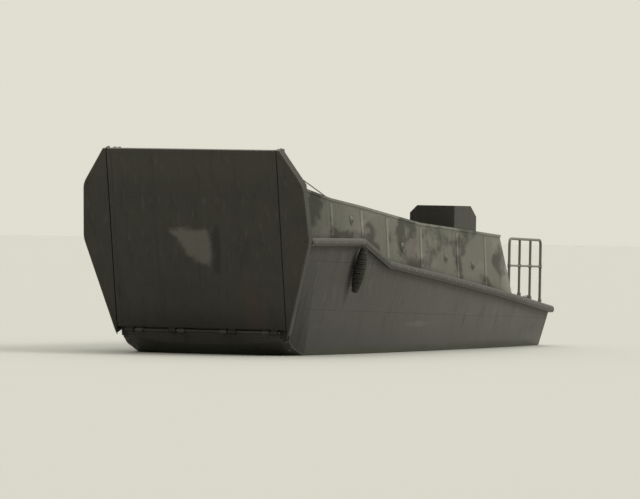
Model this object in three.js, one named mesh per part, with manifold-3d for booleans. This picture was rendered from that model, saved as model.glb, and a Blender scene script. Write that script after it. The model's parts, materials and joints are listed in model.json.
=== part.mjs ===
// A 36-foot ramped landing craft of the 1940s, as a three.js scene graph of named meshes.
// Millimetres. +X is port, +Y is aft, +Z is up. The origin is on the water plane, amidships.

import * as THREE from "three";
import { mergeVertices } from "three/addons/utils/BufferGeometryUtils.js";
import Module from "manifold-3d";

const wasm = await Module();
wasm.setup();

// Driving dimensions
const LENGTH = 11050;
const BOW_Y = -LENGTH / 2;
const STERN_Y = LENGTH / 2;
const GAP = 0.3; // between pieces that touch
const RUNNING = 0.8; // added to the radius of a bore that a pin or shaft turns in
const RAKE = THREE.MathUtils.degToRad(13); // of the bow face, top forward
const FACE_TOP_Z = 2550;
const HINGE_Z = 290;
const SKIN_Z = 0; // underside of the floor boards
const FLOOR_Z = 50;
const SILL_AFT_Y = -4250;
const WELL_AFT_Y = 560;
const AFT_DECK_Y = 2900;
const TRANSOM_Y = 5400;
const TRANSOM_THICK = 60;
const SHEER_SLOPE = -0.0824; // fall of the guard line per millimetre aft of the step
const STEP_FORE_Y = -3250;
const STEP_AFT_Y = -2300;
const STEP_TOP_Z = 1480;
const STEP_LOW_Z = 1200;

const RAMP_HALF = 1120;
const RAMP_THICK = 75;
const RAMP_HALF_THICK = RAMP_THICK / 2;
const RAMP_FOOT = 45; // from the hinge axis to the ramp's lower edge
const RAMP_TOP = (FACE_TOP_Z - HINGE_Z + RAMP_HALF_THICK * Math.sin(RAKE)) / Math.cos(RAKE);
const HINGE_Y = BOW_Y + RAMP_HALF_THICK * Math.cos(RAKE) + RAMP_TOP * Math.sin(RAKE);

const PROPELLER_Y = 3900;
const PROPELLER_Z = -400;
const PROPELLER_R = 250;
const RUDDER_Y = 4560;
const RUDDER_FOOT_Z = -690;
const STOCK_R = 22;
const SHOE_TOP_Z = -700;
const SHOE_FOOT_Z = -760;

const ENGINE_BOX = { half: 520, fore: 750, aft: 2650, top: 1000, wall: 30 };
const LID_THICK = 30;
const COCKPIT = { x: 620, y: 3650, r: 430, floor: 100, coamingR: 500, coamingH: 180 };
const LAZARETTE = { half: 300, fore: 4300, aft: 4900, depth: 350, hingeUp: 18, rim: 30 };
const WHEEL = { x: 880, y: 985, z: 1165, r: 230, tilt: THREE.MathUtils.degToRad(20) };

// Hull stations. Half-breadths of the two inner bottom knuckles are the same at each.
const BOTTOM_IN = 320;
const BOTTOM_OUT = 620;
const STATION_COLUMNS = ["y", "zCentre", "zIn", "zOut", "bChine", "zChine", "bSheer"];
const STATIONS = [
  [-5700, 1010, 1012, 1020, 1150, 1080, 1400],
  [-5300, 560, 562, 570, 1130, 640, 1430],
  [-5000, 235, 238, 246, 1110, 300, 1445],
  [-4700, -10, -4, 10, 1100, 110, 1458],
  [SILL_AFT_Y, -220, -205, -170, 1110, -10, 1478],
  [STEP_FORE_Y, -400, -375, -330, 1180, -130, 1525],
  [STEP_AFT_Y, -460, -430, -385, 1235, -190, 1560],
  [0, -480, -460, -425, 1290, -235, 1600],
  [2300, -430, -430, -415, 1290, -235, 1575],
  [3300, -240, -270, -390, 1275, -220, 1538],
  [PROPELLER_Y, -90, -125, -350, 1258, -210, 1505],
  [TRANSOM_Y, -60, -90, -290, 1205, -185, 1425],
].map((row) => Object.fromEntries(row.map((v, i) => [STATION_COLUMNS[i], v])));

// Plan of the well's inner walls: [y, half-width]
const WELL_PLAN = [
  [-5700, 1030],
  [-4900, 1030],
  [SILL_AFT_Y, 1070],
  [STEP_FORE_Y, 1120],
  [STEP_AFT_Y, 1195],
  [AFT_DECK_Y, 1195],
];

// Top edge of the steel bulwark: [y, z]
const BULWARK_TOP = [
  [-5700, 2150],
  [-5000, 2050],
  [-4300, 1960],
  [-3200, 1870],
  [-1900, 1750],
  [-960, 1670],
  [2470, 1530],
  [3300, 1500],
];

// Value of a [position, value] table at a position, on straight lines between its rows.
function along(table, at) {
  const last = table.length - 1;
  const i = Math.min(Math.max(table.findIndex((row) => row[0] >= at), 1), last);
  const [a, b] = [table[i - 1], table[at > table[last][0] ? last : i]];
  return a[1] + ((b[1] - a[1]) * (at - a[0])) / (b[0] - a[0]);
}

const sheerZ = (y) => {
  if (y <= STEP_FORE_Y) return STEP_TOP_Z;
  if (y >= STEP_AFT_Y) return STEP_LOW_Z + SHEER_SLOPE * (y - STEP_AFT_Y);
  return along([[STEP_FORE_Y, STEP_TOP_Z], [STEP_AFT_Y, STEP_LOW_Z]], y);
};
const sheerB = (y) => along(STATIONS.map((s) => [s.y, s.bSheer]), y);
const bulwarkZ = (y) => along(BULWARK_TOP, y);

// Solids and booleans
function toSolid(shape) {
  if (shape.getMesh) return shape;
  const flat = shape.index ? shape.toNonIndexed() : shape.clone();
  flat.deleteAttribute("normal");
  flat.deleteAttribute("uv");
  const merged = mergeVertices(flat, 1e-3);
  const mesh = new wasm.Mesh({
    numProp: 3,
    vertProperties: merged.attributes.position.array,
    triVerts: new Uint32Array(merged.index.array),
  });
  return new wasm.Manifold(mesh);
}

function toGeometry(shape) {
  if (!shape.getMesh) return shape;
  const { numProp, numVert, vertProperties, triVerts } = shape.getMesh();
  const positions = new Float32Array(numVert * 3);
  for (let i = 0; i < numVert; i++)
    positions.set(vertProperties.subarray(i * numProp, i * numProp + 3), i * 3);
  const geometry = new THREE.BufferGeometry();
  geometry.setAttribute("position", new THREE.BufferAttribute(positions, 3));
  geometry.setIndex(new THREE.BufferAttribute(new Uint32Array(triVerts), 1));
  geometry.computeVertexNormals();
  return geometry;
}

const join = (...shapes) => shapes.map(toSolid).reduce((a, b) => a.add(b));
const cut = (shape, ...tools) => tools.map(toSolid).reduce((a, b) => a.subtract(b), toSolid(shape));
const common = (a, b) => toSolid(a).intersect(toSolid(b));

function box(x0, x1, y0, y1, z0, z1) {
  const made = new THREE.BoxGeometry(x1 - x0, y1 - y0, z1 - z0);
  return made.translate((x0 + x1) / 2, (y0 + y1) / 2, (z0 + z1) / 2);
}

function extruded(points, depth) {
  const shape = new THREE.Shape(points.map(([a, b]) => new THREE.Vector2(a, b)));
  return new THREE.ExtrudeGeometry(shape, { depth, bevelEnabled: false });
}

// A prism along X from an outline of [y, z], along Y from [x, z], and along Z from [x, y].
const turnToX = new THREE.Matrix4().set(0, 0, 1, 0, 1, 0, 0, 0, 0, 1, 0, 0, 0, 0, 0, 1);
const turnToY = new THREE.Matrix4().set(1, 0, 0, 0, 0, 0, -1, 0, 0, 1, 0, 0, 0, 0, 0, 1);
const prismX = (points, x0, x1) => extruded(points, x1 - x0).applyMatrix4(turnToX).translate(x0, 0, 0);
const prismY = (points, y0, y1) => extruded(points, y1 - y0).applyMatrix4(turnToY).translate(0, y1, 0);
const prismZ = (points, z0, z1) => extruded(points, z1 - z0).translate(0, 0, z0);

function rod(from, to, radius, sides = 12, radiusTo = radius) {
  const a = new THREE.Vector3(...from);
  const b = new THREE.Vector3(...to);
  const made = new THREE.CylinderGeometry(radiusTo, radius, a.distanceTo(b), sides);
  const turn = new THREE.Quaternion();
  turn.setFromUnitVectors(new THREE.Vector3(0, 1, 0), b.clone().sub(a).normalize());
  made.applyQuaternion(turn);
  return made.translate(...a.add(b).multiplyScalar(0.5).toArray());
}

// Straight lengths of pipe, each pair joined by a ball.
function pipe(points, radius, sides = 8) {
  const lengths = points.slice(1).map((p, i) => rod(points[i], p, radius, sides));
  const elbows = points.slice(1, -1).map((p) => new THREE.SphereGeometry(radius, sides, 6).translate(...p));
  return join(...lengths, ...elbows);
}

// A closed skin through rings of [x, z] at stations along Y, each ring with the same number of points.
function loft(rings) {
  const sides = rings[0].points.length;
  const positions = rings.flatMap(({ y, points }) => points.flatMap(([x, z]) => [x, y, z]));
  const index = [];
  rings.slice(1).forEach((_, r) => {
    for (let i = 0; i < sides; i++) {
      const [a, b] = [r * sides + i, r * sides + ((i + 1) % sides)];
      index.push(b, a, a + sides, b, a + sides, b + sides);
    }
  });
  const outlineOf = ({ points }) => points.map(([x, z]) => new THREE.Vector2(x, z));
  const capOf = (ring) => THREE.ShapeUtils.triangulateShape(outlineOf(ring), []);
  const end = (rings.length - 1) * sides;
  if (THREE.ShapeUtils.isClockWise(outlineOf(rings[0])))
    for (let i = 0; i < index.length; i += 3) [index[i], index[i + 1]] = [index[i + 1], index[i]];
  capOf(rings[0]).forEach(([a, b, c]) => index.push(a, b, c));
  capOf(rings.at(-1)).forEach(([a, b, c]) => index.push(end + a, end + c, end + b));
  const made = new THREE.BufferGeometry();
  made.setAttribute("position", new THREE.BufferAttribute(new Float32Array(positions), 3));
  made.setIndex(index);
  return made;
}

function mirrored(points) {
  const other = points.filter(([x]) => x > 0).map(([x, z]) => [-x, z]);
  return [...points, ...other.reverse()];
}

// Materials
const paint = (color, roughness, metalness = 0) =>
  new THREE.MeshStandardMaterial({ color, roughness, metalness });
const MATERIAL = {
  hull: paint(0x55524c, 0.7),
  bulwark: paint(0x6c6a5f, 0.65, 0.2),
  ramp: paint(0x37342f, 0.6, 0.3),
  deck: paint(0x5a564d, 0.8),
  steel: paint(0x3f3d39, 0.5, 0.5),
  bronze: paint(0x8a6a3a, 0.4, 0.8),
  bottom: paint(0x4a3a34, 0.8),
  engine: paint(0x4b4d4a, 0.6, 0.4),
  rope: paint(0x8d8672, 0.95),
};

const craft = new THREE.Group();

function piece(name, shape, material, parent = craft) {
  const mesh = new THREE.Mesh(toGeometry(shape), MATERIAL[material]);
  mesh.name = name;
  parent.add(mesh);
  return mesh;
}

// The bow face's own frame: its origin on the ramp's hinge axis, +Z up the face and -Y out of it.
const face = new THREE.Group();
face.position.set(0, HINGE_Y, HINGE_Z);
face.rotation.x = RAKE;
face.updateMatrix();
craft.add(face);
const inCraft = (geometry) => geometry.applyMatrix4(face.matrix);

// Both sides of something: side is 1 to port and -1 to starboard.
const SIDES = [["port", 1], ["starboard", -1]];
const mirrorX = (shape, side) => (side > 0 ? toSolid(shape) : toSolid(shape).mirror([1, 0, 0]));

// The hull
const FAR = 9000;
const CHEEK_DEPTH = 120;
const HEADLOG_FACE = 55;
const HEADLOG_TOP = { y: -4890, z: 325 };
const DECK_BOARD = 30;
const BILGE = { half: 400, fore: 800, aft: 2450 }; // the engine's pocket in the bottom
const ENGINE_FOOT_Z = -345;
const STOCK_TOP_Z = -40;

// A ring of the hull from its keel up: three bottom knuckles, the chine and the guard line.
const hullRing = (s) =>
  mirrored([
    [0, s.zCentre],
    [BOTTOM_IN, s.zIn],
    [BOTTOM_OUT, s.zOut],
    [s.bChine, s.zChine],
    [s.bSheer, sheerZ(s.y)],
  ]);

const form = toSolid(loft(STATIONS.map((s) => ({ y: s.y, points: hullRing(s) }))));
const aheadOfFace = (depth) => inCraft(box(-FAR, FAR, -FAR, depth, -FAR, FAR));

function wellPlan(z0, z1, clearance = 0) {
  const port = WELL_PLAN.map(([y, half]) => [half + clearance, y]);
  return prismZ([...port, ...port.map(([x, y]) => [-x, y]).reverse()], z0, z1);
}

// Everything more than drop below the guard line's straight run aft, as a cutter.
function belowDeck(drop) {
  const [fore, aft] = [STEP_AFT_Y, STERN_Y + 500];
  const line = (y) => STEP_LOW_Z + SHEER_SLOPE * (y - STEP_AFT_Y) - drop;
  return prismX([[fore, -FAR], [aft, -FAR], [aft, line(aft)], [fore, line(fore)]], -FAR, FAR);
}

function hullBottom() {
  const blank = common(form, box(-FAR, FAR, SILL_AFT_Y, TRANSOM_Y - GAP, -FAR, SKIN_Z));
  const enginePocket = box(-BILGE.half, BILGE.half, BILGE.fore, BILGE.aft, ENGINE_FOOT_Z, FAR);
  const stockHole = rod([0, RUDDER_Y, -FAR], [0, RUDDER_Y, STOCK_TOP_Z + 10], STOCK_R + RUNNING, 16);
  return cut(blank, enginePocket, stockHole);
}

function headlog() {
  const aft = SILL_AFT_Y - GAP;
  const { y, z } = HEADLOG_TOP;
  const blank = common(form, box(-FAR, FAR, -FAR, aft, -FAR, FAR));
  const beside = cut(box(-FAR, FAR, -FAR, aft, SKIN_Z, FAR), wellPlan(-FAR, FAR));
  const sillLine = [[-FAR, z], [y, z], [aft + 1, FLOOR_Z]];
  const aboveSill = prismX([...sillLine, [aft + 1, FAR], [-FAR, FAR]], -FAR, FAR);
  return cut(blank, beside, aboveSill, aheadOfFace(HEADLOG_FACE));
}

function sideWall(side) {
  const blank = common(form, box(0, FAR, -FAR, AFT_DECK_Y - GAP, SKIN_Z + GAP, FAR));
  const shell = cut(blank, wellPlan(-FAR, FAR, GAP), aheadOfFace(CHEEK_DEPTH + GAP));
  return mirrorX(shell, side);
}

// The two cockpits and the lazarette, as cutters from a height up
function cockpitsFrom(z) {
  const { x, y, r } = COCKPIT;
  return SIDES.map(([, side]) => rod([side * x, y, z], [side * x, y, FAR], r, 20));
}

function lazaretteFrom(z) {
  const { half, fore, aft, rim } = LAZARETTE;
  return box(-half + rim, half - rim, fore + rim, aft - rim, z, FAR);
}

function sternSection() {
  const blank = common(form, box(-FAR, FAR, AFT_DECK_Y, TRANSOM_Y - GAP, SKIN_Z + GAP, FAR));
  const locker = lazaretteFrom(sheerZ(LAZARETTE.fore) - LAZARETTE.depth);
  const underDeck = common(blank, belowDeck(DECK_BOARD + GAP));
  return cut(underDeck, ...cockpitsFrom(COCKPIT.floor), locker);
}

function aftDeck() {
  const blank = common(form, box(-FAR, FAR, AFT_DECK_Y, TRANSOM_Y - GAP, SKIN_Z, FAR));
  return cut(blank, belowDeck(DECK_BOARD), ...cockpitsFrom(0), lazaretteFrom(0));
}

function transom() {
  const points = hullRing(STATIONS.at(-1));
  return loft([TRANSOM_Y, TRANSOM_Y + TRANSOM_THICK].map((y) => ({ y, points })));
}

function floorBoards(fore, aft) {
  return common(wellPlan(SKIN_Z + GAP, FLOOR_Z, -GAP), box(-FAR, FAR, fore, aft - GAP, -FAR, FAR));
}

function machineryFloor() {
  const { half, fore, aft, wall } = ENGINE_BOX;
  const hole = box(-half + wall, half - wall, fore + wall, aft - wall, -FAR, FAR);
  return cut(floorBoards(WELL_AFT_Y, AFT_DECK_Y), hole);
}

piece("hull_bottom", hullBottom(), "bottom");
piece("headlog", headlog(), "bottom");
piece("stern_section", sternSection(), "hull");
piece("aft_deck", aftDeck(), "deck");
piece("transom", transom(), "hull");
piece("cargo_floor", floorBoards(SILL_AFT_Y, WELL_AFT_Y), "deck");
piece("machinery_floor", machineryFloor(), "deck");
for (const [name, side] of SIDES) piece("side_" + name, sideWall(side), "hull");

// Bow cheeks, each with the sheave of a ramp wire, in the bow face's frame
const CHEEK_INNER = RAMP_HALF + 10;
const CHEEK_EDGE = [[1135, -40], [1150, 5], [1490, 1180], [1445, 1876], [1155, RAMP_TOP]];
const STOP = { low: 60, high: 2200, clear: 10 }; // what the closed ramp shuts against
const SHEAVE = { x: 1085, back: CHEEK_DEPTH + 85, z: RAMP_TOP - 150, r: 58, coreR: 46, axleR: 16 };
const SHEAVE_HALF = 12;
const SHEAVE_RIM = 4;
const SLOT_HALF = 15;
const BRACKET = { wall: 30, back: CHEEK_DEPTH + 150, below: 180, above: 110 };

function sheaveBracket() {
  const { x, back, z, r, coreR, axleR } = SHEAVE;
  const { wall, below, above } = BRACKET;
  const across = (from, to, radius, sides) => rod([x + from, back, z], [x + to, back, z], radius, sides);
  const outer = x - SLOT_HALF - wall;
  const body = box(outer, CHEEK_INNER + 1, CHEEK_DEPTH - 10, BRACKET.back, z - below, z + above);
  const [slotFront, slotFoot] = [CHEEK_DEPTH + 20, z - below + wall];
  const slot = box(x - SLOT_HALF, x + SLOT_HALF, slotFront, BRACKET.back + 1, slotFoot, z + above + 1);
  const rims = [-1, 1].map((side) => across(side * SHEAVE_HALF, side * (SHEAVE_HALF - SHEAVE_RIM), r, 24));
  const core = across(1 - SHEAVE_HALF, SHEAVE_HALF - 1, coreR, 24);
  const axle = across(-SLOT_HALF - 10, SLOT_HALF + 10, axleR, 12);
  return join(cut(body, slot), core, ...rims, axle);
}

function bowCheek(side) {
  const outline = [[CHEEK_INNER, -40], ...CHEEK_EDGE, [CHEEK_INNER, RAMP_TOP]];
  const post = prismY(outline, -RAMP_HALF_THICK, CHEEK_DEPTH);
  const ledge = WELL_PLAN[0][1];
  const stopFront = RAMP_HALF_THICK + STOP.clear;
  const stop = box(ledge, CHEEK_INNER + 1, stopFront, CHEEK_DEPTH, STOP.low, STOP.high);
  return mirrorX(join(post, stop, sheaveBracket()), side);
}

// Bulwarks
const BULWARK_AFT_Y = 3250;
const BULWARK = { thick: 24, inset: 12, lean: 40, endHeight: 120 };
const CAP = { out: 14, into: 50, below: 5, above: 25 };
const KNEE = { halfThick: 8, foot: 260, head: 110, drop: 60 };
const KNEE_STATIONS = [-4650, -3900, -3150, -2100, -1300, -500, 300, 1700, 2500];
const BULWARK_STATIONS = [-5600, -5000, -4300, STEP_FORE_Y, STEP_AFT_Y, -960, 600, 1900, 2700];

// Half-breadth and height of the bulwark's foot and head at a station, on its outer face
function bulwarkEdge(y) {
  const foot = sheerZ(y) + GAP;
  const head = y === BULWARK_AFT_Y ? foot + BULWARK.endHeight : bulwarkZ(y);
  const footB = sheerB(y) - BULWARK.inset;
  return { foot, head, footB, headB: footB - BULWARK.lean };
}

function bulwark(side) {
  const { thick } = BULWARK;
  const plateRing = (y) => {
    const { foot, head, footB, headB } = bulwarkEdge(y);
    return { y, points: [[footB, foot], [headB, head], [headB - thick, head], [footB - thick, foot]] };
  };
  const capRing = (y) => {
    const { head, headB } = bulwarkEdge(y);
    const [outer, inner] = [headB + CAP.out, headB - CAP.into];
    const [low, high] = [head - CAP.below, head + CAP.above];
    return { y, points: [[outer, low], [outer, high], [inner, high], [inner, low]] };
  };
  const knees = KNEE_STATIONS.map((y) => {
    const { head, footB } = bulwarkEdge(y);
    const { halfThick, drop } = KNEE;
    const foot = Math.max(sheerZ(y - halfThick), sheerZ(y + halfThick)) + 2;
    const outline = [
      [footB - 15, foot],
      [footB - 55, head - drop],
      [footB - KNEE.head, head - drop],
      [footB - KNEE.foot, foot],
    ];
    return prismY(outline, y - halfThick, y + halfThick);
  });
  const plate = loft([...BULWARK_STATIONS, BULWARK_AFT_Y].map(plateRing));
  const cap = loft(BULWARK_STATIONS.map(capRing));
  return mirrorX(cut(join(plate, cap, ...knees), aheadOfFace(CHEEK_DEPTH + GAP)), side);
}

// Guards
const GUARD = { thick: 50, height: 95, drop: 4, faceDrop: 30, chamfer: 26, lip: 0.6, out: 6 };
const GUARD_AFT_Y = TRANSOM_Y + TRANSOM_THICK;
const GUARD_STATIONS = [
  ...[-5600, -5000, -4300, STEP_FORE_Y, STEP_AFT_Y],
  ...[0, 2300, 3300, PROPELLER_Y, GUARD_AFT_Y],
];

function guard(side) {
  const { thick, height, drop, faceDrop, chamfer, lip, out } = GUARD;
  const ring = (y) => {
    const b = sheerB(Math.min(y, TRANSOM_Y)) + GAP + out;
    const [top, foot] = [sheerZ(y) - drop, sheerZ(y) - height];
    const points = [
      [b - 2, top],
      [b + thick * lip, top],
      [b + thick, top + drop - faceDrop],
      [b + thick, foot + chamfer],
      [b + thick * lip, foot],
      [b - 2, foot],
    ];
    return { y, points };
  };
  return mirrorX(cut(loft(GUARD_STATIONS.map(ring)), aheadOfFace(CHEEK_DEPTH + GAP)), side);
}

function sternGuard() {
  const half = STATIONS.at(-1).bSheer;
  const z = sheerZ(GUARD_AFT_Y);
  return box(-half, half, GUARD_AFT_Y + GAP, STERN_Y, z - GUARD.height, z - GUARD.drop);
}

for (const [name, side] of SIDES) {
  piece("bow_cheek_" + name, bowCheek(side), "ramp", face);
  piece("bulwark_" + name, bulwark(side), "bulwark");
  piece("guard_" + name, guard(side), "steel");
}
piece("guard_stern", sternGuard(), "steel");

// The ramp, in the bow face's frame
const SKIN_THICK = 12;
const FRAME_BACK = 20;
const FRAME_BAR = 60;
const FRAME_BAYS = 4;
const HINGE_R = 36;
const PIN_R = 15;
const PIN_HALF = 1030;
const STRAP = { half: 1010, foot: -70, top: 5 };
const RAMP_LUGS = [-960, -400, 400, 960];
const HULL_LUGS = [-840, -280, 280, 840];
const LUG_HALF = 45;
const CLEATS = { count: 8, inset: 120, end: 100, half: 22, high: 6 };
const RAMP_EYE = { x: SHEAVE.x, z: RAMP_TOP - 80, back: 46, r: 26, holeR: 12, halfThick: 6 };

function rampPlate() {
  const front = -RAMP_HALF_THICK;
  return box(-RAMP_HALF, RAMP_HALF, front, front + SKIN_THICK, RAMP_FOOT, RAMP_TOP);
}

// The eye that a ramp wire is shackled to, on the frame's back
function rampEye(side) {
  const { x, z, back, r, holeR, halfThick } = RAMP_EYE;
  const across = (half, radius, sides) => rod([x - half, back, z], [x + half, back, z], radius, sides);
  const web = box(x - halfThick, x + halfThick, FRAME_BACK - 1, back, z - r, z + r);
  return mirrorX(cut(join(web, across(halfThick, r, 16)), across(halfThick + 1, holeR, 12)), side);
}

function rampFrame() {
  const [front, back] = [-RAMP_HALF_THICK + SKIN_THICK + GAP, FRAME_BACK];
  const [low, high] = [RAMP_FOOT, RAMP_TOP];
  const blank = box(-RAMP_HALF, RAMP_HALF, front, back, low, high);
  const across = (2 * RAMP_HALF - FRAME_BAR) / FRAME_BAYS;
  const up = (high - low - FRAME_BAR) / FRAME_BAYS;
  const windows = [];
  for (let i = 0; i < FRAME_BAYS; i++)
    for (let j = 0; j < FRAME_BAYS; j++) {
      const [x, z] = [-RAMP_HALF + FRAME_BAR + i * across, low + FRAME_BAR + j * up];
      windows.push(box(x, x + across - FRAME_BAR, front - 1, back + 1, z, z + up - FRAME_BAR));
    }
  const lugs = RAMP_LUGS.map((x) =>
    join(
      rod([x - LUG_HALF, 0, 0], [x + LUG_HALF, 0, 0], HINGE_R, 16),
      box(x - LUG_HALF, x + LUG_HALF, front, back, 0, low + 20),
    ),
  );
  const bore = rod([-RAMP_HALF, 0, 0], [RAMP_HALF, 0, 0], PIN_R + RUNNING, 16);
  return cut(join(cut(blank, ...windows), ...lugs, ...SIDES.map(([, side]) => rampEye(side))), bore);
}

function rampDeck() {
  const [front, back] = [FRAME_BACK + GAP, RAMP_HALF_THICK - CLEATS.high];
  const [low, high] = [RAMP_FOOT + 10, RAMP_TOP - 10];
  const half = RAMP_HALF - 20;
  const [footZ, topZ] = [RAMP_FOOT + CLEATS.end, RAMP_TOP - CLEATS.end];
  const cleats = Array.from({ length: CLEATS.count }, (_, i) => {
    const z = footZ + (i * (topZ - footZ)) / (CLEATS.count - 1);
    const reach = RAMP_HALF - CLEATS.inset;
    return box(-reach, reach, back - 1, RAMP_HALF_THICK, z - CLEATS.half, z + CLEATS.half);
  });
  const corners = SIDES.map(([, side]) => mirrorX(eyeCorner(), side));
  return cut(join(box(-half, half, front, back, low, high), ...cleats), ...corners);
}

// What the deck sheet leaves open for a ramp eye, at its top corner
function eyeCorner() {
  const { x, z, r, halfThick } = RAMP_EYE;
  return box(x - halfThick - 10, FAR, -FAR, FAR, z - r - 15, FAR);
}

function rampHinge() {
  const [front, back] = [HINGE_R + 6, HEADLOG_FACE - GAP];
  const strap = box(-STRAP.half, STRAP.half, front, back, STRAP.foot, STRAP.top);
  const lugs = HULL_LUGS.map((x) =>
    join(
      rod([x - LUG_HALF, 0, 0], [x + LUG_HALF, 0, 0], HINGE_R - 2, 16),
      box(x - LUG_HALF, x + LUG_HALF, 0, front + 1, -30, STRAP.top),
    ),
  );
  return join(strap, rod([-PIN_HALF, 0, 0], [PIN_HALF, 0, 0], PIN_R, 16), ...lugs);
}

piece("ramp_plate", rampPlate(), "ramp", face);
piece("ramp_frame", rampFrame(), "ramp", face);
piece("ramp_deck", rampDeck(), "deck", face);
piece("ramp_hinge", rampHinge(), "steel", face);

// Hoisting eyes on the side decks, just outside the well
const HOISTING_EYES = { fore: -3700, aft: 2700 };
const EYE_BASE = { halfX: 60, halfY: 90, thick: 18 };
const EYE_PLATE = { halfThick: 14, half: 80, headHalf: 40, shoulder: 40, high: 150 };
const EYE_HOLE = { r: 28, up: 95 };

function hoistingEye(y, side) {
  const x = along(WELL_PLAN, y) + 90;
  const foot = Math.max(sheerZ(y - EYE_BASE.halfY), sheerZ(y + EYE_BASE.halfY));
  const sunk = foot - 40; // cut off again along the deck
  const { halfX, halfY, thick } = EYE_BASE;
  const base = box(x - halfX, x + halfX, y - halfY, y + halfY, sunk, foot + thick);
  const { halfThick, half, headHalf, shoulder, high } = EYE_PLATE;
  const outline = [
    [y - half, sunk],
    [y + half, sunk],
    [y + half, foot + shoulder],
    [y + headHalf, foot + high],
    [y - headHalf, foot + high],
    [y - half, foot + shoulder],
  ];
  const under = loft(
    [y - halfY - 10, y + halfY + 10].map((at) => {
      const deck = sheerZ(at) + GAP;
      return { y: at, points: [[0, -FAR], [FAR, -FAR], [FAR, deck], [0, deck]] };
    }),
  );
  const centre = foot + EYE_HOLE.up;
  const hole = rod([x - halfX, y, centre], [x + halfX, y, centre], EYE_HOLE.r, 16);
  return mirrorX(cut(join(base, prismX(outline, x - halfThick, x + halfThick)), hole, under), side);
}

for (const [name, side] of SIDES)
  for (const [end, y] of Object.entries(HOISTING_EYES))
    piece(`hoisting_eye_${end}_${name}`, hoistingEye(y, side), "steel");

// Steel bulkhead and the coxswain's station
const BULKHEAD_THICK = 24;
const BULKHEAD_TOP = 1290;
const BULKHEAD_INNER = -620; // starboard of it a passage leads aft
const SHIELD = { thick: 16, aft: 1560, high: 1930, inner: 900, drop: 120, chamfer: 100, inset: 8 };
const PLATFORM = { x0: 560, x1: 1190, y0: 1060, y1: 1760, top: 300 };
const STAND_HALF = 90;
const HOUSING = { r: 75, fore: -230, aft: -45 }; // along the wheel's axis from its centre

function bulkhead() {
  const half = WELL_PLAN.at(-1)[1] - GAP;
  const aft = WELL_AFT_Y + BULKHEAD_THICK;
  return box(BULKHEAD_INNER, half, WELL_AFT_Y, aft, FLOOR_Z + GAP, BULKHEAD_TOP);
}

function coxswainShield() {
  const { thick, aft, high, inner, drop, chamfer, inset } = SHIELD;
  const fore = WELL_AFT_Y + BULKHEAD_THICK + GAP;
  const low = BULKHEAD_TOP - drop;
  const top = (y) => bulwarkZ(y) + CAP.above + GAP;
  const capB = sheerB(aft) - BULWARK.inset - BULWARK.lean;
  const outer = capB - inset;
  const besideCap = capB - CAP.into - 6;
  const front = prismY(
    [
      [inner, low],
      [besideCap, low],
      [besideCap, top(fore)],
      [outer, top(fore)],
      [outer, high],
      [inner + chamfer, high],
      [inner, high - chamfer],
    ],
    fore,
    fore + thick,
  );
  const wing = [[fore, top(fore)], [aft, top(aft)], [aft, high - 140], [aft - 260, high], [fore, high]];
  return join(front, prismX(wing, outer - thick, outer));
}

function steeringStand() {
  const { x, y, z, tilt } = WHEEL;
  const foot = FLOOR_Z + GAP;
  const side = [[y - 330, foot], [y - 130, foot], [y - 60, z - 60], [y - 250, z - 60]];
  const column = prismX(side, x - STAND_HALF, x + STAND_HALF);
  const onAxis = (d) => [x, y + Math.cos(tilt) * d, z + Math.sin(tilt) * d];
  return join(column, rod(onAxis(HOUSING.fore), onAxis(HOUSING.aft), HOUSING.r, 16));
}

function steeringWheel() {
  const { r } = WHEEL;
  const SPOKES = 5;
  const rim = new THREE.TorusGeometry(r, 15, 8, 28);
  const hub = rod([0, 0, -44], [0, 0, 24], 34, 14);
  const spokes = Array.from({ length: SPOKES }, (_, i) => {
    const a = (i * 2 * Math.PI) / SPOKES;
    return rod([0, 0, 0], [Math.sin(a) * r, Math.cos(a) * r, 0], 11, 8);
  });
  return join(rim, hub, ...spokes);
}

// The ramp's winch, in the passage beside the bulkhead
const WINCH = { x0: -1110, x1: -760, y: 1070, z: 620, half: 170, axleR: 30 };
const WINCH_CHEEK = { thick: 14, head: 60, above: 70, out: 10 };
const WINCH_BASE_TOP = FLOOR_Z + 24;
const DRUM = { r: 70, rimR: 125, rim: 12, start: 30, end: 20 };
const GEAR = { tipR: 140, rootR: 126, teeth: 24, from: 22, to: 46 };
const CRANK = { from: 74, to: 90, half: 18, top: 300, grip: 280, gripR: 16, gripTo: 210 };

function winchFrame() {
  const { x0, x1, y, z, half, axleR } = WINCH;
  const { thick, head, above, out } = WINCH_CHEEK;
  const foot = FLOOR_Z + GAP;
  const outline = [[y - half, foot], [y + half, foot], [y + head, z + above], [y - head, z + above]];
  const cheeks = [x0 - out, x1].map((x) => prismX(outline, x, x + thick));
  const base = box(x0 - out, x1 + thick, y - half, y + half, foot, WINCH_BASE_TOP);
  return cut(join(base, ...cheeks), rod([x0 - 20, y, z], [x1 + 20, y, z], axleR + RUNNING, 16));
}

// A gear wheel about X: each tooth is as wide as the space beside it, and tapers by a third.
function gearWheel(x0, x1) {
  const { tipR, rootR, teeth } = GEAR;
  const pitch = (2 * Math.PI) / teeth;
  const corners = [[0, rootR], [0.14, tipR], [0.36, tipR], [0.5, rootR]];
  const outline = Array.from({ length: teeth }, (_, i) =>
    corners.map(([share, r]) => [Math.cos((i + share) * pitch) * r, Math.sin((i + share) * pitch) * r]),
  );
  return prismX(outline.flat(), x0, x1);
}

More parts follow.
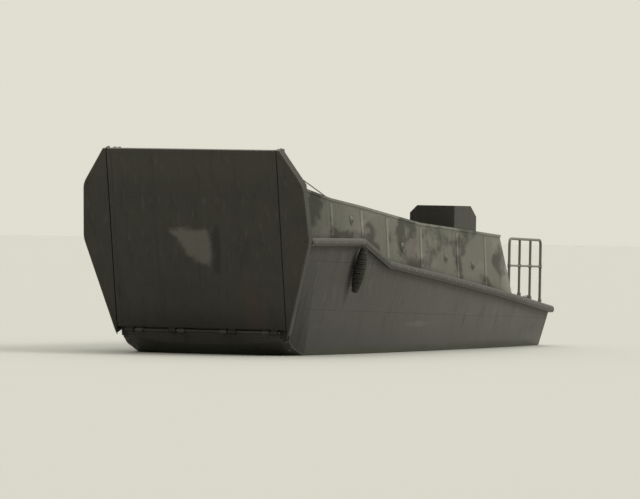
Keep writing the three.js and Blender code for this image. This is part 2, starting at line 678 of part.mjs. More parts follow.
function winchDrum() {
  const { x0, x1, axleR } = WINCH;
  const across = (from, to, radius, sides) => rod([from, 0, 0], [to, 0, 0], radius, sides);
  const [start, end] = [x0 + DRUM.start, x1 - DRUM.end];
  const drum = across(start, end, DRUM.r, 16);
  const rims = [start, end - DRUM.rim].map((x) => across(x, x + DRUM.rim, DRUM.rimR, 20));
  const axle = across(x0 - 16, x1 + CRANK.to, axleR, 16);
  const gear = gearWheel(x1 + GEAR.from, x1 + GEAR.to);
  const arm = box(x1 + CRANK.from, x1 + CRANK.to, -CRANK.half, CRANK.half, -16, CRANK.top);
  const grip = rod([x1 + 80, 0, CRANK.grip], [x1 + CRANK.gripTo, 0, CRANK.grip], CRANK.gripR, 10);
  return join(drum, ...rims, axle, gear, arm, grip);
}

function platform() {
  const { x0, x1, y0, y1, top } = PLATFORM;
  return box(x0, x1, y0, y1, FLOOR_Z + GAP, top);
}

piece("bulkhead", bulkhead(), "bulwark");
piece("coxswain_shield", coxswainShield(), "ramp");
piece("coxswain_platform", platform(), "deck");
piece("steering_stand", steeringStand(), "steel");
const wheel = piece("steering_wheel", steeringWheel(), "steel");
wheel.position.set(WHEEL.x, WHEEL.y, WHEEL.z);
wheel.rotation.x = WHEEL.tilt - Math.PI / 2;
piece("winch_frame", winchFrame(), "steel");
piece("winch_drum", winchDrum(), "steel").position.set(0, WINCH.y, WINCH.z);

// Engine, its box and lids
const ENGINE_BLOCK = { half: 330, fore: 900, aft: 2100, top: 520 };
const ENGINE_HEAD = { half: 200, fore: 980, aft: 2020, top: 760 };
const GEARBOX = { half: 230, aft: 2400, top: 180 };
const LID_RIB = { half: 30, from: 60, inset: 60, high: 14, end: 300 };

function engineBox() {
  const { half, fore, aft, top, wall } = ENGINE_BOX;
  const outer = box(-half, half, fore, aft, FLOOR_Z + GAP, top);
  return cut(outer, box(-half + wall, half - wall, fore + wall, aft - wall, -FAR, FAR));
}

function engineBlock() {
  const foot = ENGINE_FOOT_Z + GAP;
  const about = ({ half, top }, fore, aft, low) => box(-half, half, fore, aft, low, top);
  return join(
    about(ENGINE_BLOCK, ENGINE_BLOCK.fore, ENGINE_BLOCK.aft, foot),
    about(ENGINE_HEAD, ENGINE_HEAD.fore, ENGINE_HEAD.aft, ENGINE_BLOCK.top - 1),
    about(GEARBOX, ENGINE_BLOCK.aft - 1, GEARBOX.aft, foot),
  );
}

function engineLid(side) {
  const { half, fore, aft, top } = ENGINE_BOX;
  const plate = box(5, half + 6, fore - 10, aft + 10, top + GAP, top + LID_THICK);
  const [low, high] = [top + LID_THICK - 1, top + LID_THICK + LID_RIB.high];
  const ribs = [fore + LID_RIB.end, (fore + aft) / 2, aft - LID_RIB.end].map((y) =>
    box(LID_RIB.from, half - LID_RIB.inset, y - LID_RIB.half, y + LID_RIB.half, low, high),
  );
  return mirrorX(join(plate, ...ribs), side);
}

piece("engine_box", engineBox(), "hull");
piece("engine", engineBlock(), "engine");
for (const [name, side] of SIDES) piece("engine_lid_" + name, engineLid(side), "hull");

// Aft deck fittings
const DECK_TURN = Math.atan(SHEER_SLOPE);
const TOWING_POST = { y: 5150, half: 65, high: 430, armZ: 300, armHalf: 190, armR: 24 };
const CLEAT = { x: 1290, y: 4750, halfX: 35, halfY: 90, high: 60, hornZ: 70, hornHalf: 170, hornR: 20 };
const RAIL = { fore: BULWARK_AFT_Y + 60, aft: 5120, top: 1500, mid: 1130, r: 19, midR: 14, inset: 70 };
const RAIL_FALL = 20; // from the fore end of a rail to its aft end
const STANCHIONS = [3900, 4520];
const RAIL_FOOT = { r: 48, high: 14 };
const EXHAUST = { x: -620, z: 250, r: 70, boreR: 56, recess: 5 };

const onDeck = (y) => sheerZ(y) + GAP;

function coaming(side) {
  const { x, y, r, coamingR, coamingH } = COCKPIT;
  const top = sheerZ(y) + coamingH;
  const outer = rod([x, y, 0], [x, y, top], coamingR, 24);
  const inner = rod([x, y, -1], [x, y, top + 1], r + 8, 24);
  return mirrorX(cut(outer, inner, belowDeck(-GAP)), side);
}

function lazaretteLid() {
  const { half, fore, aft, hingeUp } = LAZARETTE;
  const foot = GAP - hingeUp;
  const top = foot + LID_THICK;
  const handle = box(-60, 60, aft - fore - 80, aft - fore - 50, top - 1, top + 24);
  return join(box(-half, half, 12, aft - fore, foot, top), handle);
}

function towingPost() {
  const { y, half, high, armZ, armHalf, armR } = TOWING_POST;
  const foot = onDeck(y);
  const post = cut(box(-half, half, y - half, y + half, foot - 40, foot + high), belowDeck(-GAP));
  return join(post, rod([-armHalf, y, foot + armZ], [armHalf, y, foot + armZ], armR, 12));
}

function cleat(side) {
  const { x, y, halfX, halfY, high, hornZ, hornHalf, hornR } = CLEAT;
  const foot = onDeck(y);
  const blank = box(x - halfX, x + halfX, y - halfY, y + halfY, foot - 30, foot + high);
  const horn = rod([x, y - hornHalf, foot + hornZ], [x, y + hornHalf, foot + hornZ], hornR, 10);
  return mirrorX(join(cut(blank, belowDeck(-GAP)), horn), side);
}

function sternRail(side) {
  const { fore, aft, top, mid, r, midR, inset } = RAIL;
  const at = (y, z) => [sheerB(y) - inset, y, z];
  const foot = (y) => at(y, onDeck(y) - 30);
  const hoop = pipe([foot(fore), at(fore, top), at(aft, top - RAIL_FALL), foot(aft)], r);
  const stanchions = STANCHIONS.map((y) => rod(foot(y), at(y, top - 5), r, 8));
  const middle = rod(at(fore, mid), at(aft, mid - RAIL_FALL), midR, 8);
  const feet = [fore, ...STANCHIONS, aft].map((y) =>
    rod(foot(y), at(y, onDeck(y) + RAIL_FOOT.high), RAIL_FOOT.r, 10),
  );
  return mirrorX(cut(join(hoop, ...stanchions, middle, ...feet), belowDeck(-GAP)), side);
}

function exhaustPipe() {
  const { x, z, r, boreR, recess } = EXHAUST;
  const along = (from, to, radius) => rod([x, from, z], [x, to, z], radius, 18);
  const flange = along(GUARD_AFT_Y + GAP, STERN_Y - recess, r);
  return cut(flange, along(GUARD_AFT_Y + 10, STERN_Y, boreR));
}

for (const [name, side] of SIDES) {
  piece("cockpit_coaming_" + name, coaming(side), "bulwark");
  piece("cleat_" + name, cleat(side), "steel");
  piece("stern_rail_" + name, sternRail(side), "steel");
}
const lid = piece("lazarette_lid", lazaretteLid(), "hull");
lid.position.set(0, LAZARETTE.fore, sheerZ(LAZARETTE.fore) + LAZARETTE.hingeUp);
lid.rotation.x = DECK_TURN;
piece("towing_post", towingPost(), "steel");
piece("exhaust_pipe", exhaustPipe(), "steel");

// Keel, propeller and rudder
const SKEG_AFT_Y = 3600;
const SKEG_HALF = 55;
const SHOE = { half: 50, fore: 2900, aft: RUDDER_Y + 120 };
const SHAFT_R = 28;
const BEARING = { r: 80, fore: SKEG_AFT_Y - 300, aft: SKEG_AFT_Y + 60 };
const BLADE = { fore: -140, aft: 400, topZ: -150, halfThick: 18, bossR: 34 };
const PROPELLER = { blades: 3, pitch: THREE.MathUtils.degToRad(32), thick: 12, hubR: 55, tailR: 40 };

function keelSkeg() {
  const outline = [
    [-4150, 0],
    [-3900, -380],
    [-2500, -560],
    [0, -610],
    [2600, SHOE_TOP_Z + 20],
    [SKEG_AFT_Y, SHOE_TOP_Z],
    [SKEG_AFT_Y, 0],
  ];
  const aboveWater = box(-FAR, FAR, -FAR, FAR, -20, FAR);
  const blank = cut(prismX(outline, -SKEG_HALF, SKEG_HALF), form.translate([0, 0, -GAP]), aboveWater);
  const onShaft = (from, to, radius) => rod([0, from, PROPELLER_Z], [0, to, PROPELLER_Z], radius, 16);
  const bore = onShaft(BEARING.fore + 50, BEARING.aft + 1, SHAFT_R + RUNNING);
  return cut(join(blank, onShaft(BEARING.fore, BEARING.aft, BEARING.r)), bore);
}

function rudderShoe() {
  const { half, fore, aft } = SHOE;
  const bar = box(-half, half, fore, aft, SHOE_FOOT_Z, SHOE_TOP_Z - GAP);
  const pinHole = rod([0, RUDDER_Y, -FAR], [0, RUDDER_Y, FAR], STOCK_R + RUNNING, 16);
  return cut(bar, pinHole, keelSkeg().translate([0, 0, -GAP]));
}

function rudder() {
  const { fore, aft, topZ, halfThick, bossR } = BLADE;
  const foot = RUDDER_FOOT_Z;
  const outline = [[fore, foot], [aft, foot], [aft + 20, topZ - 50], [aft - 60, topZ], [fore, topZ]];
  const stock = rod([0, 0, SHOE_TOP_Z - 30], [0, 0, STOCK_TOP_Z], STOCK_R, 16);
  const boss = rod([0, 0, foot], [0, 0, topZ], bossR, 16);
  return join(prismX(outline, -halfThick, halfThick), stock, boss);
}

function propellerBlade() {
  const { thick, pitch } = PROPELLER;
  const outline = new THREE.Shape();
  outline.moveTo(-40, 30);
  outline.bezierCurveTo(-110, 90, -115, 200, -20, PROPELLER_R);
  outline.bezierCurveTo(70, 240, 105, 120, 45, 30);
  outline.closePath();
  const made = new THREE.ExtrudeGeometry(outline, { depth: thick, bevelEnabled: false, curveSegments: 5 });
  return made.translate(0, 0, -thick / 2).rotateX(Math.PI / 2).rotateZ(pitch);
}

function propeller() {
  const { blades, hubR, tailR } = PROPELLER;
  const hub = rod([0, -70, 0], [0, 80, 0], hubR, 16, tailR);
  const shaft = rod([0, SKEG_AFT_Y - 200 - PROPELLER_Y, 0], [0, -60, 0], SHAFT_R, 16);
  const turned = Array.from({ length: blades }, (_, i) =>
    propellerBlade().rotateY((i * 2 * Math.PI) / blades),
  );
  return join(hub, shaft, ...turned);
}

piece("keel_skeg", keelSkeg(), "bottom");
piece("rudder_shoe", rudderShoe(), "steel");
piece("rudder", rudder(), "steel").position.set(0, RUDDER_Y, 0);
piece("propeller", propeller(), "bronze").position.set(0, PROPELLER_Y, PROPELLER_Z);

// A rope fender that hangs from the port guard and lies on the flared side
const FENDER = { y: STEP_FORE_Y - 120, length: 600, r: 80, lowest: 770, clear: 4, lashingR: 16 };

function ropeFender() {
  const { y, length, r, lowest, clear, lashingR } = FENDER;
  const station = STATIONS.find((s) => s.y === STEP_FORE_Y);
  const flare = Math.atan2(station.bSheer - station.bChine, sheerZ(y) - station.zChine);
  const half = length / 2;
  const middleZ = lowest + half;
  const upper = [[1, half - 70], [0.6, half - 12], [0, half]];
  const profile = [...upper.map(([share, z]) => [share, -z]).reverse(), ...upper];
  const body = new THREE.LatheGeometry(profile.map(([share, z]) => new THREE.Vector2(share * r, z)), 14);
  const wallB = station.bChine + (middleZ - station.zChine) * Math.tan(flare);
  const out = wallB + (r + clear) / Math.cos(flare);
  body.rotateX(Math.PI / 2).rotateY(flare).translate(out, y, middleZ);
  const guardFoot = sheerZ(y) - GUARD.height - GAP;
  const headX = out + half * Math.sin(flare) - 4;
  const lashing = rod([headX, y, guardFoot - 60], [sheerB(y) + 22, y, guardFoot + 30], lashingR, 8);
  return cut(join(body, lashing), box(-FAR, FAR, -FAR, FAR, guardFoot, FAR));
}

piece("rope_fender", ropeFender(), "rope");

export default craft;
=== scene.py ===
"""Plating, fittings and finishes of a ramped landing craft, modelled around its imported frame."""

import json
import math
from contextlib import contextmanager
from functools import cache
from itertools import pairwise, product

import bpy
from bpy.props import FloatProperty, FloatVectorProperty, IntProperty, PointerProperty
from bpy.types import Operator, Panel, PropertyGroup
from mathutils import Matrix, Vector
from mathutils.bvhtree import BVHTree

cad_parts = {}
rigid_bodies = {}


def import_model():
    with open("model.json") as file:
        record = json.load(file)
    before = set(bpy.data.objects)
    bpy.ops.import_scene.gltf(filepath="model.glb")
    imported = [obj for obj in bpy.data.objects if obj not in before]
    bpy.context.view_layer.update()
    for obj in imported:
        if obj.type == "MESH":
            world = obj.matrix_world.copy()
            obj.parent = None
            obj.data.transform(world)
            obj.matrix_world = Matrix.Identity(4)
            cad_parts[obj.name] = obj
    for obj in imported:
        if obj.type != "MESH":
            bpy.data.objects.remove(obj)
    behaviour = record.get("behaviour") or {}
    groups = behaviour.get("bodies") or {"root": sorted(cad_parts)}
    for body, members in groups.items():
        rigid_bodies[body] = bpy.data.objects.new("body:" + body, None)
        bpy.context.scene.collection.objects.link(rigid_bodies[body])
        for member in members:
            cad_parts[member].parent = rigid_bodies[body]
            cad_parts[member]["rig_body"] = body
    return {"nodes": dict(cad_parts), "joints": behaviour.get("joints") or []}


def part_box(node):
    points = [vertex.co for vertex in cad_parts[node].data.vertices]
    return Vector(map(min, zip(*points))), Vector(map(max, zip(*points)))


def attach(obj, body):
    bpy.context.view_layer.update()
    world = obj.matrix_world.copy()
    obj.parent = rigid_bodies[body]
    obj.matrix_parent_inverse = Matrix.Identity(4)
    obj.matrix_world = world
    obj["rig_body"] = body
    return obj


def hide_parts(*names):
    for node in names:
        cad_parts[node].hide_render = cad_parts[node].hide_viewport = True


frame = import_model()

bl_info = {
    "name": "Ramped Landing Craft",
    "version": (1, 0, 0),
    "blender": (4, 5, 0),
    "location": "View3D > Sidebar > Landing Craft",
    "description": "Models the plating, fittings and finishes of a ramped landing craft around its frame",
    "category": "Object",
}

NODES = frame["nodes"]
JOINTS = {joint["name"]: joint for joint in frame["joints"]}
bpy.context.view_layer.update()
X, Y, Z = Vector((1, 0, 0)), Vector((0, 1, 0)), Vector((0, 0, 1))
FAR = 4
FINISH_ENDING = "_finish"

# Bends between faces: what is flat, what stays smooth, and what counts as an edge that wears
FLAT_BEND = math.radians(0.4)
BENT_LESS_THAN = math.radians(28)
EDGE_BEND = math.radians(32)
GRIP_BEND = math.radians(40)
DOME_BEND = math.radians(50)
ROUND_BEND = math.radians(60)
ROD_ROUNDING = 0.18

# Widths of worn edges, from heavy pieces to thin boards
HEAVY_EDGE, WOOD_EDGE, PANEL_EDGE, HATCH_EDGE, BOARD_EDGE = 0.008, 0.006, 0.005, 0.004, 0.003


def pivot(joint):
    """The place of a joint of the frame."""
    return Vector(JOINTS[joint]["pos_m"])


# The bow face has a frame of its own: Z up the face from the ramp's hinge, and -Y out of it
RAKE = math.radians(13)
HINGE = pivot("ramp_hinge")
FACE = Matrix.Translation(HINGE) @ Matrix.Rotation(RAKE, 4, "X")
PLATE_THICK = 0.012
RAMP_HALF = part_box("ramp_plate")[1].x
RAMP_FRONT = -0.0375
RAMP_BACK = 0.0375
RAMP_FOOT = 0.045
RAMP_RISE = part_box("ramp_plate")[1].z - HINGE.z
RAMP_TOP = (RAMP_RISE - (RAMP_FRONT + PLATE_THICK) * math.sin(RAKE)) / math.cos(RAKE)
CHEEK_DEPTH = 0.120
SHEET = 0.006
SHEAVE_AT = Vector((1.085, CHEEK_DEPTH + 0.085, RAMP_TOP - 0.150))
SHEAVE_REACH = 0.060
SHEAVE_GROOVE = 0.046
RAMP_EYE_AT = Vector((SHEAVE_AT.x, 0.046, RAMP_TOP - 0.080))

# The deck edge: level at the bow, a step, then an even fall to the transom
STEP_FORE, STEP_AFT = -3.25, -2.30
STEP_TOP, STEP_LOW = 1.48, 1.20
SHEER_SLOPE = -0.0824
DECK_TURN = Matrix.Rotation(math.atan(SHEER_SLOPE), 4, "X")

# Places and radii of the pieces that turn, and heights that others stand on
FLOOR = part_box("cargo_floor")[1].z
BULKHEAD_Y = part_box("bulkhead")[0].y
WHEEL_AT = pivot("steering_wheel_turn")
WHEEL_AXIS = Vector(JOINTS["steering_wheel_turn"]["axis"])
WINCH_AT = pivot("winch_turn")
DRUM_RADIUS = 0.070
PROPELLER_AT = pivot("propeller_turn")
RUDDER_AT = pivot("rudder_turn")


def sheer(y):
    """Height of the deck edge at a station."""
    if y <= STEP_FORE:
        return STEP_TOP
    if y >= STEP_AFT:
        return STEP_LOW + SHEER_SLOPE * (y - STEP_AFT)
    return STEP_TOP + (STEP_LOW - STEP_TOP) * (y - STEP_FORE) / (STEP_AFT - STEP_FORE)


@cache
def faces_of(node):
    """A frame node's faces, ready for lines to meet."""
    mesh = NODES[node].data
    return BVHTree.FromPolygons([v.co for v in mesh.vertices], [face.vertices for face in mesh.polygons])


def reach(node, origin, direction):
    """Where a line from a point first meets a frame node, and the way its face looks there."""
    place, normal, _, _ = faces_of(node).ray_cast(Vector(origin), Vector(direction).normalized())
    if place is None:
        raise ValueError(f"no part of {node} lies that way from {tuple(origin)}")
    return place, normal


def from_port(node, y, z):
    """Where a level line from far to port meets a node, and the way its face looks."""
    return reach(node, (FAR, y, z), -X)


def from_middle(node, y, z):
    """Where a level line to port from the middle of the craft meets a node, and the way its face looks."""
    return reach(node, (0, y, z), X)


def from_below(node, x, y):
    """Where a line straight up meets a node, and the way its face looks."""
    return reach(node, (x, y, -FAR), Z)


def spaced(start, end, pitch):
    """Places from start to end, as near to a pitch apart as comes out even."""
    steps = max(1, round(abs(end - start) / pitch))
    return [start + (end - start) * step / steps for step in range(steps + 1)]


def ways_round(count, start=0.0):
    """Ways out from a middle on the XY plane, an even turn apart, the first a share of that turn on."""
    turns = [math.tau * (step + start) / count for step in range(count)]
    return [Vector((math.cos(turn), math.sin(turn), 0)) for turn in turns]


# Modelling
def only(*pieces):
    """Selects these pieces alone and makes the first one active."""
    bpy.ops.object.select_all(action="DESELECT")
    for piece in pieces:
        piece.select_set(True)
    bpy.context.view_layer.objects.active = pieces[0]
    return pieces[0]


def settled(piece, matrix=None):
    """Puts a piece's place, after an extra move, into its mesh."""
    if matrix is not None:
        piece.matrix_world = matrix @ piece.matrix_basis
    only(piece)
    bpy.ops.object.transform_apply(location=True, rotation=True, scale=True)
    return piece


def started(shape, **settings):
    """A new primitive with its place in its mesh."""
    bpy.ops.object.select_all(action="DESELECT")
    getattr(bpy.ops.mesh, f"primitive_{shape}_add")(**settings)
    return settled(bpy.context.object)


@contextmanager
def editing(piece, select="SELECT"):
    """Edit mode on one piece, with all or nothing selected."""
    only(piece)
    bpy.ops.object.mode_set(mode="EDIT")
    bpy.ops.mesh.select_mode(type="FACE")
    bpy.ops.mesh.select_all(action=select)
    yield
    bpy.ops.object.mode_set(mode="OBJECT")


def pick(piece, test):
    """In edit mode, selects the faces whose centre and normal pass a test."""
    bpy.ops.mesh.select_all(action="DESELECT")
    bpy.ops.object.mode_set(mode="OBJECT")
    for face in piece.data.polygons:
        face.select = test(face.center, face.normal)
    bpy.ops.object.mode_set(mode="EDIT")


def shaded(piece, bend=BENT_LESS_THAN):
    """Smooth where faces bend a little, sharp where they bend more."""
    only(piece)
    bpy.ops.object.shade_smooth_by_angle(angle=bend)
    return piece


def modified(piece, kind, **settings):
    """Adds a modifier with its settings and applies it."""
    only(piece)
    modifier = piece.modifiers.new(kind, kind)
    for key, value in settings.items():
        setattr(modifier, key, value)
    bpy.ops.object.modifier_apply(modifier=modifier.name)
    return piece


def repeated(piece, count, step):
    """The piece and its copies, a step apart."""
    offset = {"use_relative_offset": False, "use_constant_offset": True, "constant_offset_displace": step}
    return modified(piece, "ARRAY", count=count, **offset)


def copied(piece, matrix):
    """A copy with a mesh of its own, moved by a matrix."""
    made = bpy.data.objects.new(piece.name, piece.data.copy())
    bpy.context.scene.collection.objects.link(made)
    made.data.transform(matrix)
    if matrix.determinant() < 0:
        made.data.flip_normals()
    return made


def copied_to(piece, matrices):
    """Copies of a piece, each moved by its matrix, in place of the piece itself."""
    made = [copied(piece, matrix) for matrix in matrices]
    bpy.data.objects.remove(piece)
    return made


def both_sides(pieces):
    """These pieces and their mirror images."""
    return [*pieces, *(copied(piece, Matrix.Scale(-1, 4, X)) for piece in pieces)]


def sided(name):
    """The nodes of a piece on both sides, with 1 for port and -1 for starboard."""
    return [(name + "_port", 1), (name + "_starboard", -1)]


def on_side(pieces, side):
    """Pieces made to port, moved to the side they are for."""
    if side > 0:
        return pieces
    return [made for piece in pieces for made in copied_to(piece, [Matrix.Scale(-1, 4, X)])]


def block(low, high, round_by=0.004, segments=2):
    """A box between two corners, with rounded edges."""
    low, high = Vector(low), Vector(high)
    piece = started("cube", size=1, location=(low + high) / 2, scale=high - low)
    with editing(piece):
        bpy.ops.mesh.bevel(offset=min(round_by, min(high - low) * 0.4), segments=segments, affect="EDGES")
    return shaded(piece)


def bar(start, end, width, thickness, out, round_by=0.002):
    """A flat bar between two points, with its back on that line and its broad face looking out."""
    start, end = Vector(start), Vector(end)
    run = (end - start).normalized()
    across = Vector(out).cross(run).normalized()
    turn = Matrix((across, run.cross(across), run)).transposed().to_4x4()
    half = (end - start).length / 2
    piece = block((-width / 2, 0, -half), (width / 2, thickness, half), round_by, segments=1)
    return settled(piece, Matrix.Translation((start + end) / 2) @ turn)


def pad(middle, half, *size):
    """A flat bar as far to each side of a point as half its run."""
    return bar(middle - half, middle + half, *size)


def rod(start, end, radius, tip=None, sides=16):
    """A round bar between two points with rounded rims, its far end as thick as the tip."""
    start, end = Vector(start), Vector(end)
    run = end - start
    tip = radius if tip is None else tip
    turn = run.to_track_quat("Z", "Y").to_euler()
    size = {"vertices": sides, "radius1": radius, "radius2": tip, "depth": run.length}
    piece = started("cone", location=(start + end) / 2, rotation=turn, **size)
    axis = run.normalized()
    with editing(piece):
        pick(piece, lambda centre, normal: abs(normal.dot(axis)) > 0.98)
        bpy.ops.mesh.bevel(offset=min(radius, tip) * ROD_ROUNDING, segments=1, affect="EDGES")
    return shaded(piece)


def peg(middle, half, radius, sides=16):
    """A round bar as far to each side of a point as half its run."""
    return rod(middle - half, middle + half, radius, sides=sides)


def ring(centre, radius, thickness, axis=Z, sides=28, section=8):
    """A round ring about an axis."""
    turn = Vector(axis).to_track_quat("Z", "Y").to_euler()
    radii = {"major_radius": radius, "minor_radius": thickness}
    counts = {"major_segments": sides, "minor_segments": section}
    return shaded(started("torus", location=centre, rotation=turn, **radii, **counts), ROUND_BEND)


def turned(outline, sides=24, matrix=None, bend=BENT_LESS_THAN):
    """A round piece about Z, drawn up ring by ring through an outline of [radius, height]."""
    (radius, height), *rest = outline
    piece = started("circle", vertices=sides, radius=radius, fill_type="NGON", location=Z * height)
    with editing(piece):
        for wider, higher in rest:
            bpy.ops.mesh.extrude_region_move(TRANSFORM_OT_translate={"value": (0, 0, higher - height)})
            scale = wider / radius
            bpy.ops.transform.resize(value=(scale, scale, 1), center_override=(0, 0, higher))
            radius, height = wider, higher
        bpy.ops.mesh.select_all(action="SELECT")
        bpy.ops.mesh.normals_make_consistent(inside=False)
    return shaded(settled(piece, matrix), bend)


def about(centre, axis):
    """Where a round piece made about Z goes, to stand about this axis."""
    return Matrix.Translation(centre) @ Vector(axis).to_track_quat("Z", "Y").to_matrix().to_4x4()


def flange(centre, axis, foot, height, top, lift, sides=20):
    """A low round plate: straight from its foot radius to a height, then in to its top radius."""
    return turned([(foot, 0), (foot, height), (top, lift)], sides, about(centre, axis))


def tube(points, radius, sides=8, smooth=False):
    """A pipe or wire along a line of points, with closed ends."""
    bpy.ops.object.select_all(action="DESELECT")
    bpy.ops.curve.primitive_bezier_curve_add()
    piece = bpy.context.object
    curve = piece.data
    curve.splines.clear()
    spline = curve.splines.new("BEZIER" if smooth else "POLY")
    knots = spline.bezier_points if smooth else spline.points
    knots.add(len(points) - 1)
    for knot, point in zip(knots, points):
        knot.co = point if smooth else (*point, 1)
        if smooth:
            knot.handle_left_type = knot.handle_right_type = "AUTO"
    curve.dimensions = "3D"
    curve.resolution_u = 6
    curve.bevel_depth = radius
    curve.bevel_resolution = sides // 2 - 2
    curve.use_fill_caps = True
    piece.matrix_basis = Matrix.Identity(4)
    only(piece)
    bpy.ops.object.convert(target="MESH")
    return shaded(bpy.context.object, ROUND_BEND)


def rounded_path(points, radius, steps=4):
    """A line of points with each corner taken round in a few short steps."""
    points = [Vector(point) for point in points]
    path = [points[0]]
    for before, corner, after in zip(points, points[1:], points[2:]):
        start = corner + (before - corner).normalized() * radius
        end = corner + (after - corner).normalized() * radius
        for step in range(steps + 1):
            t = step / steps
            path.append(start * (1 - t) ** 2 + corner * 2 * t * (1 - t) + end * t**2)
    return [*path, points[-1]]


def dome(radius, height):
    """A round bolt head on the XY plane: a ball cut through its middle and flattened."""
    piece = started("uv_sphere", segments=8, ring_count=6, radius=radius, scale=(1, 1, height))
    with editing(piece):
        bpy.ops.mesh.bisect(plane_co=(0, 0, -0.0005), plane_no=Z, clear_inner=True, use_fill=True)
    return shaded(piece, DOME_BEND)


def heads(places, radius=0.009, height=0.45):
    """Single bolt heads, each at a place and facing a way."""
    return copied_to(dome(radius, height), [about(place, out) for place, out in places])


def studs(rows, pitch, radius=0.009, height=0.45):
    """Rows of bolt heads, each row with its start, its end and the way its heads face."""
    made = []
    for head, (start, end, _) in zip(heads([(start, out) for start, _, out in rows], radius, height), rows):
        run = Vector(end) - Vector(start)
        steps = max(1, round(run.length / pitch))
        made.append(repeated(head, steps + 1, run / steps))
    return made


def finish_of(name):
    """A finish that the finishes step has made."""
    return bpy.data.materials[name + FINISH_ENDING]


def coloured(pieces, *finishes):
    """Gives these pieces their finish before they are joined to others."""
    for piece in pieces:
        piece.data.materials.clear()
        for name in finishes:
            piece.data.materials.append(finish_of(name))
    return pieces


def looks_up(centre, normal):
    """Whether a face can be walked on."""
    return normal.z > 0.7


def plated(node, body, edge, width=None, **by_test):
    """A frame node's own shape: its faces in one finish, its worn edges in another, and the faces whose
    centre and normal pass a test in the finish that the test is named with."""
    (piece,) = coloured([copied(NODES[node], Matrix.Identity(4))], body, edge)
    for face in piece.data.polygons:
        face.material_index = 0
    with editing(piece):
        bpy.ops.mesh.remove_doubles(threshold=2e-5)
        bpy.ops.mesh.dissolve_limited(angle_limit=FLAT_BEND)
    width = width or bpy.context.scene.craft_sizes.edge_round
    limit = {"limit_method": "ANGLE", "angle_limit": EDGE_BEND}
    shaded(modified(piece, "BEVEL", width=width, segments=1, material=1, **limit))
    for name, test in by_test.items():
        piece.data.materials.append(finish_of(name))
        for face in piece.data.polygons:
            if test(face.center, face.normal):
                face.material_index = len(piece.data.materials) - 1
    return piece


def finished(name, body, pieces, stands_for=()):
    """Joins pieces into one, names it and lets it ride on its body."""
    piece = only(*pieces)
    if len(pieces) > 1:
        bpy.ops.object.join()
    piece.name = piece.data.name = name
    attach(piece, body)
    if stands_for:
        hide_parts(*stands_for)
    return piece


def dressed(node, *whole, side=1, place=None, **by_finish):
    """Lets pieces stand for a frame node: whole ones as they are, new ones under their finish's name."""
    made = [piece for finish, pieces in by_finish.items() for piece in coloured(pieces, finish)]
    if place is not None:
        made = [settled(piece, place) for piece in made]
    pieces = [*whole, *on_side(made, side)]
    return finished(node + "_finished", NODES[node]["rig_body"], pieces, [node])


# Finishes
class Wire:
    """A socket in a finish. Arithmetic on it adds the Math nodes that work it out."""

    def __init__(self, finish, socket):
        self.finish = finish
        self.socket = socket

    def maths(self, operation, *values):
        return self.finish.node("ShaderNodeMath", {"operation": operation}, dict(enumerate(values)))

    def __add__(self, other):
        return self.maths("ADD", self, other)

    def __sub__(self, other):
        return self.maths("SUBTRACT", self, other)

    def __rsub__(self, other):
        return self.maths("SUBTRACT", other, self)

    def __mul__(self, other):
        return self.maths("MULTIPLY", self, other)

    def __truediv__(self, other):
        return self.maths("DIVIDE", self, other)

    __radd__ = __add__
    __rmul__ = __mul__

    def __abs__(self):
        return self.maths("ABSOLUTE", self)

    def most(self, other):
        return self.maths("MAXIMUM", self, other)

    def within(self, pitch):
        """How far into its step of a pitch the value is."""
        return self.maths("FLOORED_MODULO", self, pitch)

    def rise(self, low, high):
        """0 on one side of two values, 1 on the other, and smooth between them."""
        settings = {"interpolation_type": "SMOOTHSTEP"}
        return self.finish.node("ShaderNodeMapRange", settings, {0: self, 1: low, 2: high, 3: 0, 4: 1})

    def band(self, low, high, soft):
        """1 between two values, fading to 0 outside them."""
        return self.rise(low - soft, low + soft) * self.rise(high + soft, high - soft)


